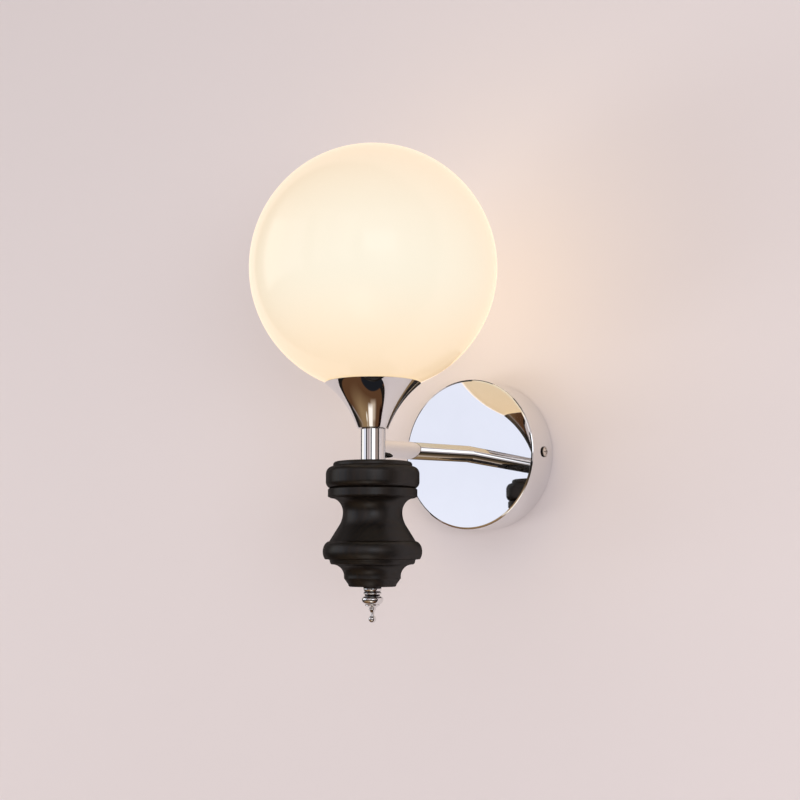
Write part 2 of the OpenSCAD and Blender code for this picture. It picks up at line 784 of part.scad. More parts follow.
// A point of the arm's axis at s from the canopy's face, x to the side
function on_arm(s, x) = [x, -canopy_depth - s * cos(arm_fall), -s * sin(arm_fall)];

// From the nipple's back end along the arm, round the corner in the coupler and up the stem
turn_r = 3;
function lead_inside(x) = concat(
    [for (s = [-nipple_back + 1, 0, arm_run / 3, arm_run * 2 / 3]) on_arm(s, x)],
    [for (a = [0 : 15 : 90]) [x, lamp_y + turn_r * (1 - sin(a)), turn_r * (1 - cos(a)) - arm_drop]],
    [for (z = [coupler_top, (coupler_top + lamp_nipple_top) / 2, lamp_nipple_top - 1])
        [x, lamp_y, z - arm_drop]]);

// From the terminal block to the nipple, then inside, then out to a contact's tail
module mains_lead(x, z) {
    y0 = -strap_t - block_y / 2;
    gate = -canopy_depth + nipple_back;
    from_block = [[block_x + block_w / 2 - 2, y0, z], [block_x + block_w / 2 + 2, y0, z],
        [x - 2, y0 - 0.5, z * 0.85], [x + 1, y0 - 2, z * 0.4], [x, gate + 1.5, z * 0.06]];
    to_contact = [[x, lamp_y, lamp_nipple_top + 0.6 - arm_drop],
        [x * 2.6, lamp_y + 0.9, holder_foot + 1.6 - arm_drop],
        [sign(x) * pin_pitch / 2, lamp_y + lead_d / 2 + 0.4, holder_foot + 3.4 - arm_drop]];
    lead(concat(smooth(from_block), lead_inside(x), smooth(to_contact)), lead_d / 2);
}

module lead_live() {
    color([0.42, 0.22, 0.12]) mains_lead(lead_step, way_pitch);
}

module lead_neutral() {
    color([0.16, 0.3, 0.62]) mains_lead(-lead_step, -way_pitch);
}

// From the bracket's ring tag in a loose bow to the ring tag behind the canopy's nut
module lead_earth() {
    y0 = -strap_t - barrel_r;
    z0 = earth_eye_r + barrel_start + barrel_l;
    x1 = canopy_eye_r + barrel_start + barrel_l;
    back = canopy_wall + tag_at;
    y1 = back + barrel_r - canopy_depth;
    z1 = (back + tag_t / 2) * tan(arm_fall);
    bow = [[earth_x, y0, z0], [earth_x, y0 - 0.5, z0 + 3], [earth_x + 2, y0 - 4, z0 + 7],
        [earth_x + 6, y0 - 10, z0 + 7], [earth_x + 8, y1 + 3, z0 + 2],
        [x1 + 7, y1, 5], [x1 + 3, y1, 0.8], [x1, y1, z1]];
    color([0.35, 0.6, 0.2]) lead(
        concat([[earth_x, y0, z0 - 3]], smooth(bow), [[x1 - 3, y1, z1]]), lead_d / 2);
}

// Wood and finial

module tie_rod() {
    top = coupler_foot + thread_depth;
    color([0.7, 0.7, 0.72]) at_lamp() translate([0, 0, rod_end])
        cylinder(r = rod_r, h = top - rod_end - slip_gap);
}

// Turned profile of the upper piece, from its top face down; z = 0 is its top
function cap_profile() =
    let (top_r = cap_top_d / 2, r = cap_d / 2, lip = 1.6, step_z = -2.6, shoulder_r = 3.9,
         shoulder_h = 4.4, under_r = 3.6, under_h = 4)
    concat(
        [[0, 0]],
        arc([top_r - lip, -lip], lip, lip, 90, 0, 5),
        [[top_r, step_z]],
        arc([r - shoulder_r, step_z - 0.2 - shoulder_h], shoulder_r, shoulder_h, 86, 0, 8),
        arc([r - under_r, under_h - cap_h], under_r, under_h, 0, -90, 7),
        [[0, -cap_h]]);

module wood_cap() {
    color([0.13, 0.11, 0.1]) at_lamp() translate([0, 0, wood_top]) difference() {
        rotate_extrude() polygon(cap_profile());
        translate([0, 0, -stem_seat]) cylinder(r = stem_r + slip_gap, h = 2 * stem_seat);
        translate([0, 0, -cap_h - eps]) cylinder(r = rod_hole_r, h = cap_h + 1);
        translate([0, 0, -cap_h - eps]) cylinder(r = spigot_r + slip_gap, h = spigot_h + slip_gap);
    }
}

// Turned profile of the lower piece; z = 0 is its top face
function baluster_profile() =
    let (flange_r = flange_d / 2, waist_r = waist_d / 2, bulge_r = bulge_d / 2,
         fillet_r = fillet_d / 2, foot_r = foot_d / 2, sole_r = sole_d / 2,
         lip = 1, cove_r = flange_r - 1.3 - waist_r, cove_h = 8.5, waist_z = -flange_h - cove_h,
         sweep_r = 15, sweep = 35, bulge_w = 4.3, bulge_h = 6.1, bulge_z = 20.4 - baluster_h,
         bead_w = 1.5, bead_h = 1.9, bead_z = bulge_z - 5.6,
         hollow_r = fillet_r - bead_w - foot_r, hollow_h = 6.9, hollow_z = bead_z - bead_h - hollow_h)
    concat(
        [[0, 0], [flange_r - 0.8, 0], [flange_r, -lip]],
        [[flange_r, lip - flange_h], [flange_r - 0.5, 0.4 - flange_h]],
        arc([flange_r - 1.3, waist_z], cove_r, cove_h, 90, 180, 10),
        arc([waist_r + sweep_r, waist_z], sweep_r, sweep_r, 183, 180 + sweep, 6),
        [[bulge_r - bulge_w + 0.4, bulge_z + bulge_h + 0.3]],
        arc([bulge_r - bulge_w, bulge_z], bulge_w, bulge_h, 84, -47, 12),
        [[fillet_r, bead_z + 0.4]],
        arc([fillet_r - bead_w, bead_z], bead_w, bead_h, 0, -90, 5),
        arc([fillet_r - bead_w, hollow_z], hollow_r, hollow_h, 94, 180, 8),
        [[foot_r, hollow_z - 0.6]],
        arc([sole_r, 1.4 - baluster_h], 1, 1.4, 0, -90, 4),
        [[0, -baluster_h]]);

module wood_baluster() {
    color([0.12, 0.1, 0.09]) at_lamp() translate([0, 0, joint_z]) difference() {
        union() {
            rotate_extrude() polygon(baluster_profile());
            translate([0, 0, -1]) cylinder(r = spigot_r, h = spigot_h + 1);
        }
        translate([0, 0, -baluster_h - eps]) cylinder(r = rod_hole_r, h = 2 * baluster_h);
    }
}

// Turned profile of the collar; z = 0 is its top face, and hole is the radius of its bore
function collar_profile(hole) =
    let (r = collar_d / 2, groove = 0.45)
    [[hole, 0], [r - 0.1, 0], [r - 0.1, -collar_h * 0.56], [r - groove, -collar_h * 0.6],
     [r - groove, -collar_h * 0.68], [r, -collar_h * 0.72], [r, -collar_h * 0.96],
     [r - groove, -collar_h], [hole, -collar_h]];

module finial_collar() {
    color([0.86, 0.86, 0.88]) at_lamp() translate([0, 0, sole_z])
        rotate_extrude() polygon(collar_profile(rod_hole_r));
}

// Turned profile of the finial; z = 0 is its top face
function finial_profile() =
    let (r = finial_d / 2, drop_r = drop_d / 2, neck_r = 1.15, bulb_z = -1.9, ring_r = 4.5,
         ring_z = -5.2, bead_r = 2.2, bead_z = -7.6, drop_z = drop_r - finial_h)
    concat(
        [[0, 0], [r - 1.4, 0]],
        arc([r - 1.6, bulb_z], 1.6, 1.7, 75, 0, 5),
        arc([r - 2.8, bulb_z], 2.8, 2.9, 0, -70, 7),
        [[ring_r - 0.4, ring_z + 0.6], [ring_r, ring_z + 0.2], [ring_r, ring_z - 0.2]],
        [[bead_r + 0.1, bead_z + 0.9]],
        arc([bead_r - 0.5, bead_z], 0.5, 0.5, 60, -60, 4),
        [[neck_r, bead_z - 1.7], [neck_r, drop_z + drop_r + 0.4]],
        arc([0, drop_z], drop_r, drop_r, 58, -90, 12));

module finial() {
    color([0.86, 0.86, 0.88]) at_lamp() translate([0, 0, finial_z]) difference() {
        rotate_extrude() polygon(finial_profile());
        translate([0, 0, rod_end - finial_z - 0.4])
            cylinder(r = rod_r + thread_gap, h = 10);
    }
}

wall_bracket();
earth_screw();
terminal_block();
terminal_tubes();
terminal_screws();
terminal_fixings();
canopy();
canopy_screw_right();
canopy_screw_left();
backing_plate();
canopy_nipple();
lock_washer();
earth_tags();
canopy_nut();
arm();
arm_end_nipple();
coupler();
stem();
lamp_nipple();
trumpet();
gallery_spacer();
gallery();
gallery_nut();
gasket();
globe();
holder_strap();
lampholder();
holder_rivets();
holder_contacts();
bulb_base();
bulb_pins();
bulb_column();
bulb_envelope();
lead_live();
lead_neutral();
lead_earth();
tie_rod();
wood_cap();
wood_baluster();
finial_collar();
finial();
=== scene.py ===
# %% [markdown]
# # A wall light: opal globe, chromed trumpet, mirror canopy and turned wood
#
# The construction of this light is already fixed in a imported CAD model. This lesson gives it its
# looks: each piece that shows is modelled again with smooth, rounded surfaces in the same place,
# and every piece gets a procedural finish.

# %% Load the frame
from math import asin, atan2, cos, degrees, pi, radians, sin, sqrt, tan

import bpy
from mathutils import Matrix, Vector


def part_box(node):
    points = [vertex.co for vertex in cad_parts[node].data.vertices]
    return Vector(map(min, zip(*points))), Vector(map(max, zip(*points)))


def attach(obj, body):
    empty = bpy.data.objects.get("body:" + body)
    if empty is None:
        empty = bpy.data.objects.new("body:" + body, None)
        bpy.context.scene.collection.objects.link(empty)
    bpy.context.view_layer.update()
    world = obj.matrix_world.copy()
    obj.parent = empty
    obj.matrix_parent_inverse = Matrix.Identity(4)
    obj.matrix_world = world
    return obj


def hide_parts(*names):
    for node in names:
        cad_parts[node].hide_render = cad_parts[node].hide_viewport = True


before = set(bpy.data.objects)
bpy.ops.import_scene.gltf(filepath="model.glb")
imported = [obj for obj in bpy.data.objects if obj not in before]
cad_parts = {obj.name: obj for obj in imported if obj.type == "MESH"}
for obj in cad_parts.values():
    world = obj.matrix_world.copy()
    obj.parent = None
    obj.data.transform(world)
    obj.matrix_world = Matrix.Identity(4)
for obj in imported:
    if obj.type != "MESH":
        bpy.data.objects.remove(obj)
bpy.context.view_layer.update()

# %% [markdown]
# ## Sizes
#
# The scene is in metres, but small turned parts read better in millimetres, so outlines are
# written in millimetres and scaled once, when they are drawn. The places come from the CAD
# boxes: how wide a node is, where its foot and its top are, and where the lamp's axis stands.

# %% Sizes that the frame gives
MM = 0.001


def width(node):
    """Width of a CAD node, in millimetres."""
    low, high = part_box(node)
    return round((high.x - low.x) / MM, 1)


def foot(node):
    return round(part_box(node)[0].z / MM, 2)


def top(node):
    return round(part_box(node)[1].z / MM, 2)


def front(node):
    """How far a CAD node reaches into the room, in millimetres."""
    return round(-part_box(node)[0].y / MM, 2)


stem_low, stem_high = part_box("stem")
lamp_y = round((stem_low.y + stem_high.y) / 2 / MM, 2)
print("the lamp's axis stands", -lamp_y, "mm from the wall")

# %% [markdown]
# ## The camera
#
# The camera stands a little to the right of the light and slightly below it, and looks up. A
# longer lens keeps the globe round, as in a catalogue picture.

# %% The camera
camera_place = (0.4277, -0.6931, -0.0660)
camera_heading = 35.93
camera_pitch = 7.37
camera_lens = 53.55

bpy.ops.object.camera_add(
    location=camera_place,
    rotation=(radians(90 + camera_pitch), 0, radians(camera_heading)))
camera = bpy.context.object
camera.name = "view_camera"
camera.data.lens = camera_lens
camera.data.clip_start = 0.01
bpy.context.scene.camera = camera
bpy.context.scene.view_settings.view_transform = "Standard"
print("camera lens", camera_lens, "mm")

# %% [markdown]
# ## Small tools for materials
#
# A material is a net of nodes. These helpers add a node with its settings and feed its inputs,
# so that each finish below stays short and readable. An input takes either a plain value or
# another node's output.

# %% Node helpers
def feed(node, inputs):
    """Links a node's inputs to other sockets, or gives them plain numbers, vectors or colours."""
    for key, value in inputs.items():
        socket = node.inputs[key]
        if isinstance(value, bpy.types.NodeSocket):
            node.id_data.links.new(value, socket)
        elif socket.type == "RGBA":
            socket.default_value = (*value, 1)
        else:
            socket.default_value = value
    return node


def add_node(tree, kind, inputs=None, **settings):
    """Adds a node, sets its properties and feeds its inputs."""
    made = tree.nodes.new("ShaderNode" + kind)
    for key, value in settings.items():
        setattr(made, key, value)
    return feed(made, inputs or {})


def calculate(tree, operation, *values, clamp=False):
    """The output of a Math node on sockets or plain numbers."""
    made = add_node(tree, "Math", dict(enumerate(values)), operation=operation, use_clamp=clamp)
    return made.outputs[0]


def mix_colour(tree, share, first, second):
    """A colour that runs from first, where share is 0, to second, where it is 1."""
    # a Mix node's sockets 6 and 7 take colours, and its output 2 is one
    return add_node(tree, "Mix", {0: share, 6: first, 7: second}, data_type="RGBA").outputs[2]


def object_axes(tree):
    """The place of a point on the light, as X, Y and Z in metres."""
    return add_node(tree, "SeparateXYZ", {0: add_node(tree, "TexCoord").outputs["Object"]}).outputs


def new_group(name, inputs, outputs):
    """A node group; an input is given as (name, type, default), an output as (name, type)."""
    group = bpy.data.node_groups.new(name, "ShaderNodeTree")
    for label, kind, value in inputs:
        made = group.interface.new_socket(label, in_out="INPUT", socket_type="NodeSocket" + kind)
        made.default_value = value
    for label, kind in outputs:
        group.interface.new_socket(label, in_out="OUTPUT", socket_type="NodeSocket" + kind)
    return group, group.nodes.new("NodeGroupInput").outputs, group.nodes.new("NodeGroupOutput")


def new_material(name, **sockets):
    """A material, its tree and its shader, whose sockets are named as in coat_roughness=0.3."""
    made = bpy.data.materials.new(name)
    made.use_nodes = True
    shader = made.node_tree.nodes["Principled BSDF"]
    feed(shader, {key.replace("_", " ").title().replace("Ior", "IOR"): value
                  for key, value in sockets.items()})
    return made, made.node_tree, shader


# %% [markdown]
# ## The room that the metal mirrors
#
# Polished metal has hardly any colour of its own: it shows the room. So the world has two sides.
# Matt surfaces get plain soft light from all round. Mirror-like surfaces see a simple room: a
# bright window wall to the left, a smaller window over the viewer's shoulder, grey walls, a dim
# ceiling and a brown floor far below. Each bright or dark field is a soft-edged box, given by its
# compass angle and its height angle.

# %% A soft-edged field on the sky
field, field_in, field_out = new_group(
    "room_field",
    [(label, "Float", 0.0) for label in ("Turn", "Middle Turn", "Half Width", "Side Edge",
                                         "Rise", "Middle Rise", "Half Height", "Top Edge")],
    [("Mask", "Float")])


def field_side(angle, middle, half, edge):
    """1 well inside middle +/- half and 0 outside, with a soft edge between."""
    away = calculate(field, "ABSOLUTE", calculate(
        field, "SUBTRACT", field_in[angle], field_in[middle]))
    inside = calculate(field, "SUBTRACT", field_in[half], away)
    return calculate(field, "DIVIDE", inside, field_in[edge], clamp=True)


across = field_side("Turn", "Middle Turn", "Half Width", "Side Edge")
up = field_side("Rise", "Middle Rise", "Half Height", "Top Edge")
feed(field_out, {"Mask": calculate(field, "MULTIPLY", across, up)})

# %% The room's colours
plain_light = (1.0, 0.985, 0.98)
plain_strength = 0.77
backdrop_colour = (0.70, 0.62, 0.61)

room_walls = (0.55, 0.49, 0.49)
room_fields = [
    # name, turn, half width, side edge, rise, half height, top edge, colour
    ("ceiling", 0, 200, 1, 90, 54, 10, (0.04, 0.037, 0.036)),
    ("lilac_wall", 0, 26, 2, 6, 32, 2, (0.70, 0.61, 0.62)),
    ("shelf_side", -3, 6, 2, 6, 32, 2, (0.44, 0.37, 0.38)),
    ("lit_corner", 16, 6, 2, 6, 32, 2, (0.92, 0.87, 0.87)),
    ("right_wall", 76, 18, 2, 6, 32, 2, (0.336, 0.263, 0.232)),
    ("window_wall", -49, 21, 1.5, 8, 24, 1.5, (0.905, 0.935, 1.07)),
    ("window_sill", -49, 21, 1.5, -6, 11, 8, (0.98, 1.01, 1.14)),
    ("window_pane", -67, 13, 4, 8, 24, 3, (1.35, 1.32, 1.28)),
    ("dark_corner", -96, 16, 2, 0, 90, 2, (0.015, 0.013, 0.012)),
    ("far_side", 100, 14, 2, 0, 90, 2, (0.015, 0.013, 0.012)),
    ("dark_frame", -23, 6.5, 1.2, 6, 32, 2, (0.014, 0.012, 0.012)),
    ("door_gap", 24, 6.5, 1.2, -4, 22, 1.2, (0.015, 0.014, 0.013)),
    ("window", 43, 15.5, 2, 12, 10, 2.5, (1.7, 1.72, 1.82)),
    ("skirting", 0, 115, 2, -16, 12.5, 2.5, (0.02, 0.018, 0.016)),
    ("floor", 0, 200, 2, -62, 36, 5, (0.12, 0.055, 0.026)),
    ("worn_floor", -14, 62, 40, -38, 30, 24, (0.34, 0.22, 0.115)),
    ("corner_foot", -103, 12, 1.5, -30, 60, 4, (0.015, 0.012, 0.01)),
    ("far_foot", 103, 12, 1.5, -30, 60, 4, (0.015, 0.012, 0.01)),
    ("far_corner", 90, 12, 4, -36, 20, 8, (0.012, 0.004, 0.003)),
    ("glare_rim", 38, 22, 14, -50, 16, 8, (0.62, 0.49, 0.37)),
    ("floor_glare", 22, 17, 7, -44, 16, 7, (1.3, 1.2, 1.1)),
    ("thin_glare", -4, 4.5, 3, -41, 7, 5, (1.2, 1.1, 0.95)),
    ("below", 0, 200, 2, -90, 16, 1.5, (0.014, 0.015, 0.019)),
]

world = bpy.data.worlds.new("studio_room")
bpy.context.scene.world = world
world.use_nodes = True
sky = world.node_tree
sky.nodes.clear()
look = add_node(sky, "TexCoord").outputs["Generated"]
part = add_node(sky, "SeparateXYZ", {0: look}).outputs
into_room = calculate(sky, "MULTIPLY", part["Y"], -1.0)
turn_angle = calculate(sky, "DEGREES", calculate(sky, "ARCTAN2", part["X"], into_room))
rise_angle = calculate(sky, "DEGREES", calculate(sky, "ARCSINE", part["Z"]))

seen = room_walls
for label, turn_at, half_w, side_edge, rise_at, half_h, top_edge, colour in room_fields:
    box = add_node(sky, "Group", {
        "Turn": turn_angle, "Middle Turn": turn_at, "Half Width": half_w, "Side Edge": side_edge,
        "Rise": rise_angle, "Middle Rise": rise_at, "Half Height": half_h, "Top Edge": top_edge},
        node_tree=field, label=label)
    seen = mix_colour(sky, box.outputs["Mask"], seen, colour)

ray = add_node(sky, "LightPath").outputs
plain = add_node(sky, "Background", {"Color": plain_light, "Strength": plain_strength})
mirrored = add_node(sky, "Background", {"Color": seen})
behind = add_node(sky, "Background", {"Color": backdrop_colour})
by_metal = calculate(sky, "MAXIMUM", ray["Is Glossy Ray"], ray["Is Transmission Ray"])
room = add_node(sky, "MixShader", {0: by_metal, 1: plain.outputs[0], 2: mirrored.outputs[0]})
view = add_node(sky, "MixShader", {
    0: ray["Is Camera Ray"], 1: room.outputs[0], 2: behind.outputs[0]})
add_node(sky, "OutputWorld", {"Surface": view.outputs[0]})
world.cycles.sampling_method = "NONE"
print("the room has", len(room_fields), "fields")

# %% [markdown]
# ## The wall and the floor
#
# The light hangs on a plain painted wall, and the room has a plain pale floor. Both are stage,
# not part of the object. Each is a single sheet that only shows its room side: seen from behind
# it is clear, so the back of the light can be looked at too, and an opening behind the canopy lets
# daylight onto the bracket. The wall ends at a dark corner on each side, which draws the thin
# dark lines at the edges of the round metal. The floor is far below, as under any wall light,
# and the mirrors see the world's floor in its place.

# %% The wall and the floor
wall_gap = 0.0004
wall_under_rim = 0.0006
wall_width = 2.2
wall_height = 6.0
floor_size = 6.0
wall_foot = -0.9
floor_height = -0.8
paint_mottle = 0.015


def one_sided(name, colour, roughness, opening=0.0):
    """Matt paint on the front of a sheet, nothing on its back or within its round opening."""
    paint, tree, shader = new_material(name, roughness=roughness, specular_ior_level=0.2)
    place = add_node(tree, "TexCoord").outputs["Object"]
    mottle = add_node(tree, "TexNoise", {"Vector": place, "Scale": 1.6, "Detail": 2.0})
    darker = [c * (1 - paint_mottle) for c in colour]
    paler = [c * (1 + paint_mottle) for c in colour]
    feed(shader, {"Base Color": mix_colour(tree, mottle.outputs[0], darker, paler)})
    side = add_node(tree, "NewGeometry").outputs
    reach = add_node(tree, "VectorMath", {0: side["Position"]}, operation="LENGTH")
    hidden = calculate(tree, "MAXIMUM", side["Backfacing"],
                       calculate(tree, "LESS_THAN", reach.outputs["Value"], opening))
    clear = add_node(tree, "BsdfTransparent")
    sheet = add_node(tree, "MixShader", {0: hidden, 1: shader.outputs[0], 2: clear.outputs[0]})
    feed(tree.nodes["Material Output"], {"Surface": sheet.outputs[0]})
    return paint


bpy.ops.object.select_all(action="DESELECT")
bpy.ops.mesh.primitive_plane_add(size=1, rotation=(radians(90), 0, 0),
                                 location=(0, wall_gap, wall_foot + wall_height / 2))
wall = bpy.context.object
wall.name = "stage_wall"
wall.scale = (wall_width, wall_height, 1)
bpy.ops.object.transform_apply(location=False, rotation=False, scale=True)
wall.data.materials.append(one_sided("wall_paint", (0.735, 0.657, 0.66), 0.9,
                                    opening=width("canopy") * MM / 2 - wall_under_rim))
bpy.ops.mesh.primitive_plane_add(size=floor_size, location=(0, -floor_size / 2, floor_height))
floor = bpy.context.object
floor.name = "stage_floor"
floor.data.materials.append(one_sided("floor_paint", (0.78, 0.735, 0.72), 0.85))
floor.visible_glossy = False

# %% [markdown]
# ## The lamps
#
# Plain soft light: one broad daylight lamp where the small window is and one long one at the
# window wall. Both stand about level with the light and model its forms without hard shadows.

# %% Soft lamps
lamp_aim = Vector((0, -0.1, 0.02))


def soft_lamp(name, turn_at, rise_at, distance, size, power, colour):
    """An area lamp at a compass angle and a height angle from the light, aimed at it."""
    t, r = radians(turn_at), radians(rise_at)
    way = Vector((sin(t) * cos(r), -cos(t) * cos(r), sin(r)))
    bpy.ops.object.light_add(type="AREA", location=lamp_aim + way * distance)
    lamp = bpy.context.object
    lamp.name = name
    lamp.rotation_mode = "QUATERNION"
    lamp.rotation_quaternion = way.to_track_quat("Z", "Y")
    lamp.data.shape = "RECTANGLE"
    lamp.data.size, lamp.data.size_y = size
    lamp.data.energy = power
    lamp.data.color = colour
    lamp.visible_glossy = False


soft_lamp("window_lamp", 46, -3, 1.5, (0.66, 0.50), 6.6, (0.96, 0.98, 1.0))
soft_lamp("left_lamp", -50, -13, 1.7, (1.3, 0.5), 5.6, (0.96, 0.99, 0.97))

# %% [markdown]
# ## Tools for turned pieces
#
# Nearly every piece of this light is round, so one way of modelling does most of the work: draw
# half of the outline as a chain of points and spin it round the axis, as a lathe would. Corners
# are never left razor sharp: a corner that is written with a third number gets a small arc of
# that radius, and a holding point on both sides that keeps the flat faces flat when the shading
# is smoothed.

# %% Outline helpers
def arc(centre, across, up, start, end, steps=12):
    """Points of an elliptic arc round a centre, from one angle to another."""
    angles = [radians(start + (end - start) * i / steps) for i in range(steps + 1)]
    return [(centre[0] + across * cos(t), centre[1] + up * sin(t)) for t in angles]


def softened(corners, steps=5):
    """Swaps each corner that is given as (x, z, radius) for an arc with holding points."""
    out = []
    for i, corner in enumerate(corners):
        here = Vector(corner[:2])
        if len(corner) == 2:
            out.append(here)
            continue
        before = Vector(corners[i - 1][:2]) - here
        after = Vector(corners[(i + 1) % len(corners)][:2]) - here
        half = before.angle(after) / 2
        reach = min(corner[2] / tan(half), 0.42 * before.length, 0.42 * after.length)
        radius = reach * tan(half)
        a, b = before.normalized(), after.normalized()
        middle = here + (a + b).normalized() * radius / sin(half)
        hold = min(0.3 * reach, 0.05 * min(before.length, after.length))
        first = here + a * reach - middle
        last = here + b * reach - middle
        out.append(here + a * (reach + hold))
        for k in range(steps + 1):
            way = first.lerp(last, k / steps)
            # equal steps of the chord are near enough equal steps of a short arc
            out.append(middle + way.normalized() * radius)
        out.append(here + b * (reach + hold))
    return [(p[0], p[1]) for p in out]


# %% Picking pieces up and setting them down
def deselect():
    if bpy.context.mode != "OBJECT":
        bpy.ops.object.mode_set(mode="OBJECT")
    bpy.ops.object.select_all(action="DESELECT")


def pick_up(piece, *others):
    """Selects a piece, with others or alone, and makes it the active one."""
    deselect()
    for one in (piece, *others):
        one.select_set(True)
    bpy.context.view_layer.objects.active = piece


def join(piece, *others):
    pick_up(piece, *others)
    bpy.ops.object.join()


def twin(piece):
    pick_up(piece)
    bpy.ops.object.duplicate()
    return bpy.context.object


def set_down(piece, place=(0, 0, 0), tilt=(0, 0, 0)):
    """Moves and tilts a finished piece, and writes its place into its mesh."""
    pick_up(piece)
    piece.location = [v * MM for v in place]
    piece.rotation_euler = [radians(v) for v in tilt]
    bpy.ops.object.transform_apply(location=True, rotation=True, scale=True)


def shade(crease):
    """Smooths the active piece, but for edges that turn by more than crease degrees."""
    bpy.ops.object.shade_smooth_by_angle(angle=radians(crease))


def report(piece):
    low, high = ([round(end(corner[i] for corner in piece.bound_box) / MM, 1) for i in range(3)]
                 for end in (min, max))
    print(f"{piece.name}: {len(piece.data.polygons)} faces, {low} to {high} mm")


# %% The lathe
weld = 0.003 * MM
turned_crease = 38
block_crease = 32


def draw(name, outline, closed):
    """Draws an outline of (x, z) points by extruding one point, and stays in edit mode."""
    deselect()
    bpy.ops.mesh.primitive_plane_add(size=MM)
    piece = bpy.context.object
    piece.name = name
    piece.data.name = name
    bpy.ops.object.mode_set(mode="EDIT")
    bpy.ops.mesh.select_all(action="SELECT")
    bpy.ops.mesh.merge(type="CENTER")
    bpy.ops.transform.translate(value=(outline[0][0] * MM, 0, outline[0][1] * MM))
    chain = list(outline) + ([outline[0]] if closed else [])
    for (x0, z0), (x1, z1) in zip(chain, chain[1:]):
        bpy.ops.mesh.extrude_region_move(
            TRANSFORM_OT_translate={"value": ((x1 - x0) * MM, 0, (z1 - z0) * MM)})
    bpy.ops.mesh.select_all(action="SELECT")
    return piece


def turn(name, outline, closed=False, steps=128, crease=turned_crease):
    """Spins an outline of (radius, height) points round Z. A closed outline makes a ring."""
    piece = draw(name, outline, closed)
    bpy.ops.mesh.spin(steps=steps, angle=2 * pi, center=(0, 0, 0), axis=(0, 0, 1))
    bpy.ops.mesh.select_all(action="SELECT")
    bpy.ops.mesh.remove_doubles(threshold=weld)
    bpy.ops.mesh.normals_make_consistent(inside=False)
    bpy.ops.object.mode_set(mode="OBJECT")
    shade(crease)
    return piece


# %% Drill and saw
AXES = {"x": (0, radians(90), 0), "y": (radians(90), 0, 0), "z": (0, 0, 0)}


def cut(piece, tool):
    """Takes the tool's shape out of a piece, then removes the tool."""
    pick_up(piece)
    saw = piece.modifiers.new("cut", "BOOLEAN")
    saw.operation = "DIFFERENCE"
    saw.solver = "EXACT"
    saw.object = tool
    bpy.ops.object.modifier_apply(modifier=saw.name)
    bpy.data.objects.remove(tool)


def drill(piece, place, axis, radius, length, crease=block_crease, vertices=48):
    """Takes a cylinder round place out of a piece, and smooths the piece again."""
    deselect()
    bpy.ops.mesh.primitive_cylinder_add(
        vertices=vertices, radius=radius * MM, depth=length * MM,
        location=[v * MM for v in place], rotation=AXES[axis])
    cut(piece, bpy.context.object)
    shade(crease)


def saw_out(piece, place, size, turned=0):
    """Takes a box round place out of a piece, turned by degrees round the upright axis."""
    deselect()
    bpy.ops.mesh.primitive_cube_add(size=MM, location=[v * MM for v in place],
                                    rotation=(0, 0, radians(turned)), scale=size)
    cut(piece, bpy.context.object)


# %% Frames of the lamp and of the arm
stem_above = 11.5
lamp_z = top("stem") - stem_above
arm_fall = 2.0
canopy_front = front("canopy")
print("lamp frame at height", round(lamp_z, 2), "mm, canopy face at", canopy_front, "mm")


def place_on_lamp(piece, height):
    """Stands a piece on the lamp's axis, its own zero at a height above the arm's axis."""
    set_down(piece, (0, lamp_y, lamp_z + height))
    report(piece)


# %% [markdown]
# ## The opal globe
#
# The globe is blown glass: a ball with a short open neck whose thread screws onto the gallery.
# The wall is modelled inside and out, so the neck has a real, rounded edge, and the ball flows
# into the neck in a small hollow curve as blown glass does.

# %% Globe
globe_r = width("globe") / 2
globe_glass = 3.0
neck_out = 15.1
neck_in = 12.5
neck_drop = 6.2
globe_centre = top("globe") - globe_r - lamp_z
inner_r = globe_r - globe_glass


def ball_height(radius, at):
    """How far below its centre a ball of this radius is as wide as at."""
    return -sqrt(radius * radius - at * at)


outer_end = degrees(asin(ball_height(globe_r, neck_out + 2.5) / globe_r))
inner_start = degrees(asin(ball_height(inner_r, neck_in + 2.0) / inner_r))
globe_outline = (
    [(0, globe_r)] + arc((0, 0), globe_r, globe_r, 88.5, outer_end, 90)
    + softened([(neck_out + 3, ball_height(globe_r, neck_out + 3)),
                (neck_out, ball_height(globe_r, neck_out), 2.0),
                (neck_out, -globe_r - neck_drop, 0.8),
                (neck_in, -globe_r - neck_drop, 0.8),
                (neck_in, ball_height(inner_r, neck_in), 2.0),
                (neck_in + 2.5, ball_height(inner_r, neck_in + 2.5))])[1:-1]
    + arc((0, 0), inner_r, inner_r, inner_start, 88.5, 60) + [(0, inner_r)])
opal_globe = turn("opal_globe", globe_outline, steps=160)
place_on_lamp(opal_globe, globe_centre)

# %% [markdown]
# ## The trumpet
#
# The cup under the globe is spun sheet metal: a narrow flat foot, then one hollow curve that
# opens to a thin rim just short of the glass. Inner and outer curve share one centre, so the
# sheet is equally thick everywhere.

# %% Trumpet
trumpet_foot = 9.2
trumpet_rim = width("trumpet") / 2
trumpet_height = round(top("trumpet") - foot("trumpet"), 2)
flare_r = 60.0
foot_rise = 2.6
sheet = 0.9
bore_hole = 4.3


def hollow_centre(p, q, radius):
    """Centre of an arc from p to q that bends away from the axis."""
    p, q = Vector(p), Vector(q)
    across = (q - p).normalized()
    back = sqrt(radius * radius - (q - p).length_squared / 4)
    return (p + q) / 2 + Vector((across.y, -across.x)) * back


def seen_from(point, centre):
    return degrees(atan2(point[1] - centre[1], point[0] - centre[0])) % 360


